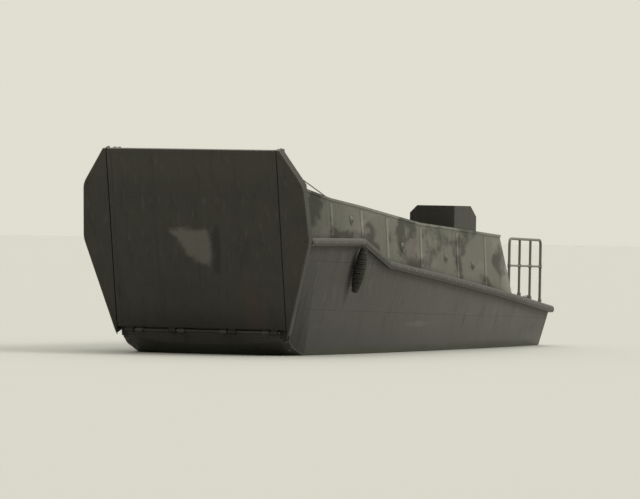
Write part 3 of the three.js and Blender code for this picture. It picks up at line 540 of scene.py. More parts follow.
class Finish:
    """One finish: its node tree, its shader and the place on the craft that its patterns read."""

    def __init__(self, name, **constants):
        self.material = bpy.data.materials.new(name + FINISH_ENDING)
        self.material.use_nodes = True
        self.tree = self.material.node_tree
        self.shader = self.tree.nodes["Principled BSDF"]
        for key, value in constants.items():
            self.shader.inputs[key.replace("_", " ")].default_value = value
        self.place = self.node("ShaderNodeTexCoord", output="Object")
        axes = [self.node("ShaderNodeSeparateXYZ", {}, {0: self.place}, axis) for axis in "XYZ"]
        self.x, self.y, self.z = axes

    def feed(self, socket, value):
        if isinstance(value, Wire):
            self.tree.links.new(value.socket, socket)
        elif socket.type == "RGBA" and len(value) == 3:
            socket.default_value = (*value, 1)
        else:
            socket.default_value = value

    def node(self, kind, settings=None, sockets=None, output=0):
        """Adds a node, sets it up, feeds its sockets and returns one of its outputs."""
        made = self.tree.nodes.new(kind)
        for key, value in (settings or {}).items():
            setattr(made, key, value)
        for key, value in (sockets or {}).items():
            self.feed(made.inputs[key], value)
        return Wire(self, made.outputs[output])

    def mix(self, share, one, other):
        return self.node("ShaderNodeMix", {"data_type": "RGBA"}, {0: share, 6: one, 7: other}, 2)

    def shade(self, colour, by):
        """A colour made lighter or darker by a value."""
        return self.node("ShaderNodeVectorMath", {"operation": "SCALE"}, {0: colour, "Scale": by})

    def noise(self, size, detail=3, drawn=(1, 1, 1), shift=0.0, rough=0.55):
        """Cloudy noise from 0 to 1, its patches this size in metres and drawn out along the axes."""
        stretch = [1 / (size * along) for along in drawn]
        moved = {"Vector": self.place, "Location": (shift,) * 3, "Scale": stretch}
        place = self.node("ShaderNodeMapping", {}, moved)
        sockets = {"Vector": place, "Scale": 1, "Detail": detail, "Roughness": rough}
        return self.node("ShaderNodeTexNoise", {}, sockets)

    def flakes(self, amount, size=0.05):
        """Where small patches have lost their paint."""
        return self.noise(size, 6, shift=11.0, rough=0.7).rise(0.76 - amount, 0.80 - amount)

    def boards(self, across, width, gap=0.003):
        """The joints between boards of a width, and a number from 0 to 1 for each board."""
        joint = abs(across.within(width) - width / 2).rise(width / 2 - gap, width / 2)
        board = {"W": across.maths("FLOOR", across / width)}
        return joint, self.node("ShaderNodeTexWhiteNoise", {"noise_dimensions": "1D"}, board)

    def show(self, colour, roughness, height=None, metallic=None):
        """Feeds the shader. Height is in metres."""
        self.feed(self.shader.inputs["Base Color"], colour)
        self.feed(self.shader.inputs["Roughness"], roughness)
        if metallic is not None:
            self.feed(self.shader.inputs["Metallic"], metallic)
        if height is not None:
            bump = self.node("ShaderNodeBump", {}, {"Strength": 1.0, "Distance": 1.0, "Height": height})
            self.feed(self.shader.inputs["Normal"], bump)


class Paint(Finish):
    """Old paint: cloudy, grainy and streaked downwards by the weather, with other colours laid over it."""

    def __init__(self, name, colour, mottle, run_off, shine):
        super().__init__(name, Specular_IOR_Level=shine)
        self.cloud = self.noise(0.9, 5, rough=0.6)
        self.grain = self.noise(0.035, 4, shift=3.0)
        streak = self.noise(0.11, 3, drawn=(1, 1, 9), shift=7.0).rise(0.52, 0.78)
        clouded = 1 + (self.cloud - 0.5) * (2.4 * mottle) + (self.grain - 0.5) * (0.9 * mottle)
        self.colour = self.shade(colour, clouded - streak * run_off)

    def lay(self, share, colour, by=None):
        """Lays a colour, made lighter or darker by a value, over a share of what is there."""
        self.colour = self.mix(share, self.colour, colour if by is None else self.shade(colour, by))

    def dim(self, by):
        """Makes all that is there lighter or darker by a value."""
        self.colour = self.shade(self.colour, by)

    def sink(self, colour):
        """Lays a colour below the water."""
        self.lay(self.z.rise(0.012, -0.012), colour, 0.7 + self.cloud * 0.6)

    def dents(self, size, shift, depth, bare=None):
        """Heights of a dented surface, its grain and the flakes lost from it."""
        height = self.noise(size, 2, shift=shift) * depth + self.grain * 0.0004
        return height if bare is None else height - bare * 0.0005


def painted_plate(
    name, colour, under, mottle=0.16, run_off=0.14, lost=0.08, dents=0.0016, gloss=0.62, below=None, plank=0
):
    """Paint with dents, run-off and lost flakes, a colour below the water, and seams where it is planked."""
    paint = Paint(name, colour, mottle, run_off, 0.28)
    bare = paint.flakes(lost)
    paint.lay(paint.noise(0.16, 5, drawn=(1, 1, 3), shift=19.0).rise(0.60, 0.74) * 0.45, under)
    paint.lay(bare * 0.8, under, 1.2)
    rough = gloss + (paint.cloud - 0.5) * 0.25 + bare * 0.15
    height = paint.dents(0.55, 23.0, 4 * dents, bare)
    if below:
        paint.sink(below)
    if plank:
        seam, board = paint.boards(paint.x + plank / 2, plank)
        paint.dim(0.88 + board * 0.24 - seam * 0.35)
        height = height - seam * 0.003 + board * 0.001
    paint.show(paint.colour, rough, height, bare * 0.3)


PLYWOOD_LONG, PLYWOOD_HIGH = 2.44, 0.61


def hull_paint(name, colour, bottom, weed):
    """Plywood sides: joints, run-off and a wet, weedy stain above the water, bottom paint below it."""
    paint = Paint(name, colour, 0.20, 0.30, 0.30)
    # Darker towards the bow as painted shade of the shadow on the bow's flare, and lighter towards the stern
    # along the whole side
    paint.dim(0.66 + paint.y.rise(-5.4, -3.6) * 0.14 + paint.y.rise(-5.0, 3.5) * 0.5)
    salt = paint.noise(0.07, 4, drawn=(1, 1, 12), shift=83.0).rise(0.55, 0.72) * paint.z.rise(0.2, 0.8)
    paint.lay(salt * 0.22, colour, 2.2)
    joint, _ = paint.boards(paint.y + 0.35, PLYWOOD_LONG, 0.006)
    seam, _ = paint.boards(paint.z + 0.12 + paint.y * 0.02, PLYWOOD_HIGH, 0.005)
    stain = joint.most(abs(paint.y.within(PLYWOOD_LONG) - 0.87).rise(0.10, 0.0) * 0.4)
    paint.dim(1 - stain * 0.22 - seam * 0.25)
    scuff = paint.noise(0.30, 5, drawn=(1, 7, 0.5), shift=31.0).rise(0.60, 0.72) * paint.z.rise(1.3, 0.4)
    paint.lay(scuff * 0.35, paint.colour, 1.7)
    wave = (paint.noise(0.5, 4, drawn=(1, 2.5, 1), shift=41.0) - 0.5) * 0.22
    wet = (paint.z + wave).rise(0.34, 0.10)
    paint.dim(1 - wet * 0.30)
    paint.lay((paint.z + wave * 0.6).rise(0.13, 0.03) * 0.75, weed, 0.7 + paint.grain * 0.6)
    paint.sink(bottom)
    chips = paint.flakes(0.07, 0.07)
    paint.lay(chips * 0.55, colour, 0.55)
    rough = 0.70 + (paint.cloud - 0.5) * 0.25 - wet * 0.28
    cuts = paint.grain * 0.0005 - joint.most(seam) * 0.0025 - chips * 0.0006
    paint.show(paint.colour, rough, cuts + paint.noise(1.3, 2, shift=5.0) * 0.004)


def bulwark_paint(name, colour, dark, dusty):
    """Steel bulwarks above the guard, with broad soft patches of darker and dustier paint."""
    paint = Paint(name, colour, 0.20, 0.16, 0.28)
    patch = paint.noise(0.62, 4, drawn=(1, 1.5, 0.9), shift=51.0).rise(0.50, 0.60)
    paint.lay(patch * 0.85, dark, 0.75 + paint.cloud * 0.5)
    paint.lay(paint.noise(0.48, 4, drawn=(1, 1.8, 0.7), shift=67.0).rise(0.54, 0.66) * 0.6, dusty)
    # Darker towards the bow
    paint.dim(0.60 + paint.y.rise(-5.2, -3.0) * 0.40)
    bare = paint.flakes(0.09, 0.06)
    paint.lay(bare * 0.7, dark, 0.8)
    paint.show(paint.colour, 0.66 + (paint.cloud - 0.5) * 0.3, paint.dents(0.6, 29.0, 0.006, bare))


def ramp_paint(name, colour, faded, rust):
    """The bow face: dark and wet low down, a lighter band along its top and a rubbed patch amidships."""
    paint = Paint(name, colour, 0.22, 0.22, 0.25)
    ahead = paint.y.rise(-4.9, -5.0)
    wobble = (paint.noise(0.20, 6, shift=13.0, rough=0.75) - 0.5) * 0.32
    ragged = paint.z + wobble
    paint.lay(ragged.rise(2.05, 2.35) * ahead * 0.10, faded)
    left = paint.x + (paint.z - 1.57) * 0.9 + wobble
    across = left.rise(-0.43, -0.31) * (paint.x + wobble * 0.5).rise(0.22, 0.14)
    patch = across * ragged.band(1.14, 1.56, 0.05)
    paint.lay(patch * ahead * (0.72 + paint.cloud * 0.55), faded)
    beside = (paint.x + wobble * 0.3).band(0.22, 0.31, 0.02) * ragged.band(1.03, 1.61, 0.06)
    paint.dim(1 - beside * ahead * 0.35)
    runs = paint.noise(0.05, 4, drawn=(1, 1, 14), shift=83.0).rise(0.54, 0.72) * paint.z.rise(0.1, 1.8)
    paint.lay(runs * 0.20, faded)
    rubbed = paint.noise(0.4, 5, drawn=(1, 1, 4), shift=17.0).rise(0.55, 0.75) * paint.z.rise(1.7, 0.5)
    paint.lay(rubbed * 0.35, rust)
    bare = paint.flakes(0.08)
    paint.lay(bare * 0.6, rust, 0.8)
    wave = (paint.noise(0.4, 4, drawn=(2, 1, 1), shift=43.0) - 0.5) * 0.3
    wet = (paint.z + wave).rise(0.75, 0.30)
    paint.dim(1 - wet * 0.35)
    rough = 0.60 + (paint.cloud - 0.5) * 0.3 - wet * 0.28
    paint.show(paint.colour, rough, paint.dents(0.5, 37.0, 0.005, bare), bare * 0.3)


WOOD = (0.13, 0.105, 0.075)


def planked(name, colour, across, width, length=2.2, wear=0.5):
    """Painted boards along one axis, worn where people walk and dark along the joints."""
    paint = Paint(name, colour, 0.2, 0.0, 0.3)
    gap = 0.004
    axis, along = (paint.x, paint.y) if across == "X" else (paint.y, paint.x)
    joint, board = paint.boards(axis, width, gap)
    butt = abs((along + board * length).within(length) - length / 2).rise(length / 2 - gap, length / 2)
    grain = paint.noise(0.012, 4, drawn=(1, 14, 1) if across == "X" else (14, 1, 1), shift=2.0)
    paint.dim(0.82 + board * 0.3)
    trodden = paint.noise(0.7, 5, shift=71.0).rise(0.45, 0.72) * grain.rise(0.35, 0.62)
    paint.lay(trodden * wear, WOOD, 0.6 + grain * 0.8)
    gaps = joint.most(butt)
    paint.dim(1 - gaps * 0.7)
    rough = 0.78 + (paint.grain - 0.5) * 0.2
    paint.show(paint.colour, rough, grain * 0.0008 - gaps * 0.004 + board * 0.0012)


def tread_steel(name, colour, rubbed_colour):
    """Painted steel underfoot, with raised tread bars rubbed bright."""
    paint = Paint(name, colour, 0.22, 0.0, 0.35)
    pitch = 0.05
    along = (paint.z - paint.y) * 0.85
    lines = (paint.x + along, paint.x - along)
    one, other = (abs(line.within(pitch) - pitch / 2).rise(0.008, 0.003) for line in lines)
    lug = one.most(other) * paint.noise(0.03, 1, shift=9.0).rise(0.40, 0.46)
    rubbed = (paint.noise(0.5, 4, shift=3.0).rise(0.42, 0.66) * lug).most(paint.flakes(0.08))
    paint.lay(rubbed * 0.7, rubbed_colour)
    rough = 0.6 - rubbed * 0.15 + (paint.cloud - 0.5) * 0.2
    paint.show(paint.colour, rough, lug * 0.0018 + paint.grain * 0.0004, rubbed * 0.6)


def bare_metal(name, colour, tarnish, metallic, roughness, pitted=0.0006):
    """Metal left unpainted, tarnished in cloudy patches and pitted."""
    finish = Finish(name)
    dull = finish.noise(0.12, 6, shift=5.0, rough=0.65).rise(0.52, 0.67)
    pits = finish.noise(0.012, 4, shift=8.0)
    base = finish.mix(dull, finish.shade(colour, 0.8 + pits * 0.4), finish.shade(tarnish, 0.7 + pits * 0.6))
    rough = roughness + dull * 0.28 + (pits - 0.5) * 0.15
    finish.show(base, rough, pits * pitted - dull * 0.0003, metallic * (1 - dull * 0.75))


def laid_rope(name, colour, strand, metallic=False):
    """Rope: strands that slant round it, with fibres between them."""
    finish = Finish(name, Specular_IOR_Level=0.2)
    fibre = finish.noise(strand * 0.25, 4, shift=1.0)
    slant = (finish.x + finish.y * 0.9 + finish.z).within(strand)
    lay = abs(slant - strand / 2).rise(strand / 2, strand * 0.12)
    # Each strand is painted lighter on its crest and darker towards the grooves, as painted shade of its
    # round form
    base = finish.shade(colour, 0.45 + lay * 0.5 + fibre * 0.3)
    rough = 0.9 - lay * (0.3 if metallic else 0.05)
    finish.show(base, rough, (lay + fibre * 0.3) * (strand * 0.2), lay * 0.6 if metallic else None)


DIALS_AT = Vector((0.745, 0.5985, 1.150))
DIAL_PITCH = 0.085
DIAL_RADIUS = 0.032
DIAL_MARKS = 20


def dial_face(name):
    """Cream instrument faces in a row, with even marks round their rims."""
    finish = Finish(name)
    right = (finish.x - (DIALS_AT.x - DIAL_PITCH / 2)).within(DIAL_PITCH) - DIAL_PITCH / 2
    up = finish.z - DIALS_AT.z
    out = right.maths("SQRT", right * right + up * up)
    turn = right.maths("ARCTAN2", up, right) / math.tau
    half_step = 1 / DIAL_MARKS / 2
    mark = abs((turn + 1).within(half_step * 2) - half_step).rise(half_step - 0.006, half_step)
    mark = mark * out.band(DIAL_RADIUS * 0.7, DIAL_RADIUS * 0.9, 0.001)
    base = finish.mix(mark, (0.42, 0.39, 0.30), (0.02, 0.02, 0.02))
    finish.show(base, 0.35 + finish.noise(0.01, 2) * 0.2)


# Sizes and colours that a user would change
def size_property(name, description, default, least, most):
    """A length that a user may change, in metres."""
    limits = {"min": least, "max": most}
    return FloatProperty(name=name, description=description, default=default, unit="LENGTH", **limits)


class CraftSizes(PropertyGroup):
    edge_round: size_property("Plate edge", "Width of the worn edge on plates and wood", 0.004, 0.001, 0.012)
    rivet_pitch: size_property("Rivet spacing", "Distance from one rivet to the next", 0.10, 0.04, 0.40)
    rivet_radius: size_property("Rivet radius", "Radius of a rivet's head", 0.010, 0.004, 0.020)
    bay_dish: size_property("Ramp bay", "How far the plate is pushed in between its bars", 0.0035, 0.0, 0.005)
    wire_radius: size_property("Wire radius", "Radius of the ramp's hoisting wire", 0.007, 0.003, 0.012)
    rope_turns: IntProperty(
        name="Fender turns", description="Turns of rope wound on the fender", default=19, min=8, max=30
    )


def paint_property(name, description, colour):
    """A colour that a user may change, as linear red, green and blue."""
    settings = {"subtype": "COLOR", "size": 3, "min": 0, "max": 1}
    return FloatVectorProperty(name=name, description=description, default=colour, **settings)


class CraftColours(PropertyGroup):
    hull: paint_property("Hull", "Paint on the plywood sides", (0.084, 0.079, 0.070))
    bulwark: paint_property("Bulwark", "Paint on the steel bulwarks", (0.175, 0.172, 0.142))
    dark_patch: paint_property("Dark patch", "Darker patches on the bulwarks", (0.052, 0.050, 0.042))
    dust: paint_property("Dust", "Dried salt and dust on the bulwarks", (0.230, 0.205, 0.190))
    # The bow face's dark tone is partly its own paint and partly painted shade of a face turned away from the
    # light
    ramp: paint_property("Ramp", "Paint on the bow face", (0.045, 0.0425, 0.035))
    faded: paint_property("Faded ramp", "Faded paint on the bow face", (0.115, 0.110, 0.094))
    guard: paint_property("Guard", "Paint on the guard's outer face", (0.072, 0.069, 0.060))
    inside: paint_property("Inside", "Paint inside the well", (0.150, 0.145, 0.125))
    deck: paint_property("Deck", "Paint on the boards", (0.120, 0.114, 0.098))
    bottom: paint_property("Bottom", "Paint below the water", (0.075, 0.040, 0.030))
    rust: paint_property("Rust", "Rust and primer under the paint", (0.070, 0.040, 0.024))


WEED = (0.040, 0.046, 0.026)
DRY_WEED = (0.045, 0.048, 0.034)
DARK_FITTING = (0.060, 0.057, 0.050)
LIGHT_FITTING = (0.165, 0.160, 0.138)
PALE_EDGE = (0.185, 0.175, 0.150)
DARK_EDGE = (0.062, 0.058, 0.048)
ENGINE_GREEN, ENGINE_GRIME = (0.066, 0.078, 0.068), (0.030, 0.026, 0.022)
BATTEN_WOOD = (0.105, 0.088, 0.066)


class CRAFT_OT_finishes(Operator):
    """Makes the paints, boards, metals and rope that the pieces are finished in"""

    bl_idname = "craft.finishes"
    bl_label = "Finishes"

    def execute(self, context):
        of = context.scene.craft_colours
        hull_paint("hull", of.hull, of.bottom, WEED)
        bulwark_paint("bulwark", of.bulwark, of.dark_patch, of.dust)
        ramp_paint("ramp", of.ramp, of.faded, of.rust)
        painted_plate("guard", of.guard, of.dark_patch, 0.22, 0.1, 0.11)
        painted_plate("inside", of.inside, of.dark_patch, 0.16, 0.22, 0.09)
        painted_plate("fitting", DARK_FITTING, of.rust, 0.2, lost=0.10, dents=0.0004)
        painted_plate("light_fitting", LIGHT_FITTING, of.rust, 0.18, lost=0.09, dents=0.0004)
        painted_plate("engine", ENGINE_GREEN, ENGINE_GRIME, 0.3, lost=0.07, dents=0.0002)
        painted_plate("bottom", of.bottom, DRY_WEED, 0.3, lost=0.12, dents=0.001, gloss=0.8, plank=0.19)
        painted_plate("edge", PALE_EDGE, of.rust, 0.3, lost=0.18, dents=0.0, gloss=0.55, below=of.bottom)
        painted_plate("dark_edge", DARK_EDGE, of.rust, 0.3, lost=0.18, dents=0.0, gloss=0.5)
        painted_plate("batten", of.inside, BATTEN_WOOD, 0.2, lost=0.10, dents=0.0004, gloss=0.75)
        planked("floor", of.deck, "X", 0.145, wear=0.7)
        planked("deck", of.deck, "X", 0.110, length=3.1, wear=0.35)
        planked("side_deck", of.deck, "X", 0.085, length=2.7, wear=0.45)
        planked("crate", of.inside, "Z", 0.160, length=1.9, wear=0.25)
        tread_steel("tread", (0.052, 0.050, 0.044), (0.160, 0.155, 0.145))
        bare_metal("bronze", (0.34, 0.20, 0.085), (0.055, 0.085, 0.060), 0.9, 0.34)
        bare_metal("steel", (0.30, 0.29, 0.27), (0.085, 0.055, 0.036), 0.9, 0.36)
        bare_metal("zinc", (0.36, 0.37, 0.37), (0.20, 0.20, 0.19), 0.7, 0.55, pitted=0.003)
        bare_metal("rubber", (0.020, 0.020, 0.019), (0.045, 0.043, 0.040), 0.0, 0.8)
        laid_rope("rope", (0.060, 0.056, 0.047), 0.022)
        laid_rope("wire", (0.14, 0.135, 0.125), 0.010, metallic=True)
        dial_face("dial")
        return {"FINISHED"}


# Hull
def middle_of(node):
    """The middle of a frame node's box."""
    low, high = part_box(node)
    return (low + high) / 2


# From here on, a bar is named with its [width, thickness] and a turned piece with its outline
BILGE_RAIL, ZINC, KEEL_SHOE = (0.05, 0.035), (0.07, 0.022), (0.10, 0.004)
BILGE_RAIL_X, BILGE_RAIL_STATIONS = 0.95, spaced(-2.2, 2.6, 1.2)
ZINC_PLACES, ZINC_HALF = ((0.36, 3.10), (0.36, 4.05)), 0.11
STRAINER, STRAINER_PLACE = ((0.085, 0), (0.080, 0.012), (0.05, 0.018)), (-0.45, 1.6)
KEEL_KNUCKLES = (-3.85, -2.50, 2.60)


class CRAFT_OT_hull_bottom(Operator):
    """Bottom planking, head log, keel and skeg, with bilge rails and zincs"""

    bl_idname = "craft.hull_bottom"
    bl_label = "Hull bottom"

    def execute(self, context):
        line = [from_below("hull_bottom", BILGE_RAIL_X, y)[0] for y in BILGE_RAIL_STATIONS]
        rails = both_sides([bar(fore, aft, *BILGE_RAIL, -Z, HEAVY_EDGE) for fore, aft in pairwise(line)])
        places = [from_below("hull_bottom", *place) for place in ZINC_PLACES]
        zincs = both_sides([pad(place, Y * ZINC_HALF, *ZINC, normal, WOOD_EDGE) for place, normal in places])
        inlet = turned(STRAINER, 20, about(*from_below("hull_bottom", *STRAINER_PLACE)))
        bottom = plated("hull_bottom", "bottom", "bottom", HEAVY_EDGE)
        dressed("hull_bottom", bottom, bottom=rails, zinc=zincs, bronze=[inlet])

        dressed("headlog", plated("headlog", "hull", "edge", WOOD_EDGE, tread=looks_up))

        foot = [from_below("keel_skeg", 0, y)[0] for y in KEEL_KNUCKLES]
        shoe = [bar(fore, aft, *KEEL_SHOE, -Z) for fore, aft in pairwise(foot)]
        dressed("keel_skeg", plated("keel_skeg", "bottom", "bottom", HEAVY_EDGE), dark_edge=shoe)
        return {"FINISHED"}


RIB_THICK = 0.022
RIB, BATTEN, STRIP, RING_PLATE = (0.055, RIB_THICK), (0.075, 0.016), (0.056, 0.022), (0.10, 0.008)
RIB_STATIONS, MID_SIDE = spaced(-4.62, 0.30, 0.62), 0.7
BATTEN_RUNS = ((-4.55, -3.30), (-3.20, -2.35), (-2.25, 0.50))
BATTEN_HEIGHTS = (0.30, 0.62, 0.92)
SIDE_DECK_RUNS = ((-4.84, STEP_FORE - 0.02), (STEP_AFT + 0.02, 2.86))
RING_STATIONS = [y + 0.31 for y in spaced(-4.0, 0.0, 1.0)]
RING_HEIGHT = FLOOR + 0.16
RING_HANG, RING_RADIUS, RING_THICK, RING_LEAN = Vector((-0.020, 0, -0.035)), 0.040, 0.007, (1, 0, 0.15)
STAPLE = ((-0.004, 0, 0.022), (-0.026, 0, 0.014), (-0.026, 0, -0.006), (-0.004, 0, -0.014))


class CRAFT_OT_hull_sides(Operator):
    """Plywood sides with their side decks, well coamings, ribs, battens and lashing rings"""

    bl_idname = "craft.hull_sides"
    bl_label = "Hull sides"

    def execute(self, context):
        def faces_in(centre, normal):
            return normal.x * centre.x < -0.5

        def on_deck(centre, normal):
            return looks_up(centre, normal) and centre.z > 0.5

        for node, side in sided("side"):
            wall = plated(node, "hull", "edge", inside=faces_in, side_deck=on_deck)
            timbers, lashings, strips = [], [], []
            for y in RIB_STATIONS:
                face, normal = from_middle("side_port", y, MID_SIDE)
                ends = [(face.x, y, z) for z in (FLOOR + 0.012, sheer(y) - 0.06)]
                timbers.append(bar(*ends, *RIB, normal))
            for run, share in product(BATTEN_RUNS, BATTEN_HEIGHTS):
                ends = [from_middle("side_port", y, FLOOR + (sheer(y) - FLOOR) * share - 0.03) for y in run]
                _, out = ends[-1]
                timbers.append(bar(*(face + normal * RIB_THICK for face, normal in ends), *BATTEN, out))
            for y in RING_STATIONS:
                face, normal = from_middle("side_port", y, RING_HEIGHT)
                lashings.append(pad(face, Y * 0.05, *RING_PLATE, normal))
                lashings.append(ring(face + RING_HANG, RING_RADIUS, RING_THICK, RING_LEAN, 18, 6))
                lashings.append(tube([face + Vector(point) for point in STAPLE], 0.006, 6))
            for run in SIDE_DECK_RUNS:
                inner = [from_middle("side_port", y, sheer(y) - 0.05)[0].x + 0.028 for y in run]
                ends = [(x, y, sheer(y) + 0.002) for x, y in zip(inner, run)]
                strips.append(bar(*ends, *STRIP, Z, WOOD_EDGE))
            dressed(node, wall, side=side, inside=timbers, fitting=lashings, edge=strips)
        return {"FINISHED"}


COCKPIT = middle_of("cockpit_coaming_port")
COCKPIT_RADIUS = 0.43
COCKPIT_FLOOR = 0.10
GRATING_RADIUS = 0.40
SLAT, SLAT_LIFT, SLAT_PLACES = (0.060, 0.020), 0.026, spaced(-0.33, 0.33, 0.083)
BEARER, BEARER_LIFT, BEARER_PLACES = (0.05, 0.024), 0.002, (-0.22, 0.22)
LINING_POST = (0.04, 0.015)
TRANSOM_STRAPS = (-1.12, 0.0, 0.56, 1.12)
STRAP_WIDE, STRAP_THICK = 0.075, 0.012
STRAP_FOOT, STRAP_HEAD = 0.03, 0.44


class CRAFT_OT_stern(Operator):
    """Closed stern section with its cockpit linings, the transom and the exhaust outlet"""

    bl_idname = "craft.stern"
    bl_label = "Stern"

    def execute(self, context):
        def in_cockpit(centre, normal):
            away = math.hypot(abs(centre.x) - COCKPIT.x, centre.y - COCKPIT.y)
            return abs(normal.z) < 0.5 and away < COCKPIT_RADIUS + 0.02

        def slat(along, across, offset, height, *size):
            """A slat of the round grating, as long as the grating is there."""
            half = math.sqrt(GRATING_RADIUS**2 - offset**2)
            middle = Vector((COCKPIT.x, COCKPIT.y, COCKPIT_FLOOR + height)) + across * offset
            return pad(middle, along * half, *size, Z)

        slats = [slat(Y, X, x, SLAT_LIFT, *SLAT) for x in SLAT_PLACES]
        slats += [slat(X, Y, y, BEARER_LIFT, *BEARER) for y in BEARER_PLACES]
        posts = []
        for way in ways_round(10):
            out = COCKPIT + way * COCKPIT_RADIUS
            ends = [(out.x, out.y, z) for z in (COCKPIT_FLOOR + 0.03, sheer(COCKPIT.y) - 0.05)]
            posts.append(bar(*ends, *LINING_POST, -way))
        section = plated("stern_section", "hull", "edge", inside=in_cockpit)
        dressed("stern_section", section, floor=both_sides(slats), light_fitting=both_sides(posts))

        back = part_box("transom")[1].y
        straps, rows = [], []
        for x in TRANSOM_STRAPS:
            straps.append(bar((x, back, STRAP_FOOT), (x, back, STRAP_HEAD), STRAP_WIDE, STRAP_THICK, Y))
            rows.append((*((x, back + STRAP_THICK, z) for z in (STRAP_FOOT + 0.05, STRAP_HEAD - 0.04)), Y))
        board = plated("transom", "hull", "edge", HEAVY_EDGE)
        dressed("transom", board, hull=straps, edge=studs(rows, 0.08))

        low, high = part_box("exhaust_pipe")
        foot = middle_of("exhaust_pipe")
        foot.y = low.y
        radius, length = (high.x - low.x) / 2, high.y - low.y
        plate = flange(foot, Y, radius, 0.010, radius * 0.80, 0.012, 24)
        bore = radius * 0.5
        lip = [(bore + 0.014, 0), (bore + 0.014, length), (bore, length), (bore, 0.012), (0.004, 0.012)]
        pipe = turned(lip, 24, about(foot, Y))
        seat = foot + Y * 0.010
        bolts = heads([(seat + Vector((way.x, 0, way.y)) * 0.056, Y) for way in ways_round(6, 0.5)], 0.008)
        dressed("exhaust_pipe", fitting=[plate, *bolts], steel=[pipe])
        return {"FINISHED"}


# Bow
# The port cheek's outer edge in the bow face's frame, from its foot to its top: [x, z]
CHEEK_EDGE = ((1.135, -0.040), (1.150, 0.005), (1.490, 1.180), (1.445, 1.876), (1.155, RAMP_TOP))
CHEEK_BEAD, CHEEK_BEND, CHEEK_INSET = 0.011, 0.06, Vector((-0.045, -0.008, 0))
SHEAVE_HALF, SHEAVE_NUT, SHEAVE_NUT_OUT = 0.0125, 0.026, 0.045


class CRAFT_OT_bow_cheeks(Operator):
    """Bow cheeks with their edge beading, rivets and the sheaves of the ramp wires"""

    bl_idname = "craft.bow_cheeks"
    bl_label = "Bow cheeks"

    def execute(self, context):
        sizes = context.scene.craft_sizes
        turn = FACE.to_3x3()
        line = [FACE @ Vector((x, RAMP_FRONT + 0.008, z)) for x, z in CHEEK_EDGE]
        inset = turn @ CHEEK_INSET
        rows = [(start + inset, end + inset, turn @ -Y) for start, end in pairwise(line[1:])]
        for node, side in sided("bow_cheek"):
            sheave = FACE @ (SHEAVE_AT * Vector((side, 1, 1)))

            def on_sheave(centre, normal):
                return (centre - sheave).length < SHEAVE_REACH and abs(centre.x - sheave.x) < SHEAVE_HALF

            cheek = plated(node, "ramp", "dark_edge", steel=on_sheave)
            bead = tube(rounded_path(line, CHEEK_BEND), CHEEK_BEAD)
            rivets = studs(rows, sizes.rivet_pitch, sizes.rivet_radius, 0.3)
            places = [(FACE @ (SHEAVE_AT + out * SHEAVE_NUT_OUT), out) for out in (X, -X)]
            nuts = heads(places, SHEAVE_NUT)
            dressed(node, cheek, side=side, dark_edge=[bead], ramp=rivets, fitting=nuts)
        return {"FINISHED"}


def bulwark_top(y):
    """Height of the bulwark's cap at a station."""
    foot, _ = from_port("bulwark_port", y, sheer(y) + 0.06)
    return reach("bulwark_port", (foot.x - 0.05, y, FAR), -Z)[0].z


BULWARK_ENDS = (-5.05, 2.45)
BULWARK_SEAMS = (-4.30, -3.25, -2.30, -0.96, 0.60, 1.90)
BULWARK_RINGS = (-3.6, -1.7, 0.1, 1.3)
BUTT_STRAP, BUTT_STRAP_WIDE, BUTT_RIVETS_OUT = 0.005, 0.085, 0.026
RING_PAD, RING_PAD_HALF = (0.08, 0.007), 0.045


class CRAFT_OT_bulwarks(Operator):
    """Steel bulwarks with butt straps, rivets and lashing rings"""

    bl_idname = "craft.bulwarks"
    bl_label = "Bulwarks"

    def execute(self, context):
        sizes = context.scene.craft_sizes
        for node, side in sided("bulwark"):
            straps, rows, rings = [], [], []
            for y in (seam + 0.03 for seam in BULWARK_SEAMS):
                foot, out = from_port("bulwark_port", y, sheer(y - 0.03) + 0.03)
                head, _ = from_port("bulwark_port", y, bulwark_top(y) - 0.06)
                straps.append(bar(foot, head, BUTT_STRAP_WIDE, BUTT_STRAP, out))
                for along in (Y * BUTT_RIVETS_OUT, Y * -BUTT_RIVETS_OUT):
                    rows.append((*(end + along + out * BUTT_STRAP for end in (foot, head)), out))
            fore_end, aft_end = BULWARK_ENDS
            for fore, aft in pairwise((fore_end, *BULWARK_SEAMS, aft_end)):
                for height in (lambda y: sheer(y) + 0.045, lambda y: bulwark_top(y) - 0.075):
                    ends = [from_port("bulwark_port", y, height(y)) for y in (fore + 0.10, aft - 0.08)]
                    rows.append((ends[0][0], ends[1][0], ends[0][1]))
            for y in BULWARK_RINGS:
                place, out = from_port("bulwark_port", y, sheer(y) + 0.24)
                rings.append(pad(place, Y * RING_PAD_HALF, *RING_PAD, out))
                rings.append(ring(place + out * 0.016 - Z * 0.030, 0.036, 0.0065, (1, 0, 0.2), 18, 6))
                rings.append(peg(place + Vector((0.014, 0, 0.004)), Y * 0.018, 0.010, 8))
            rivets = studs(rows, sizes.rivet_pitch, sizes.rivet_radius * 0.8, 0.4)
            plate = plated(node, "bulwark", "edge")
            dressed(node, plate, side=side, bulwark=[*straps, *rivets], light_fitting=rings)
        return {"FINISHED"}


GUARD_BOLT_PITCH, GUARD_BOLT = 0.33, (0.013, 0.3)
GUARD_RUN, GUARD_BOLT_DROP = (-5.0, 5.3), 0.052


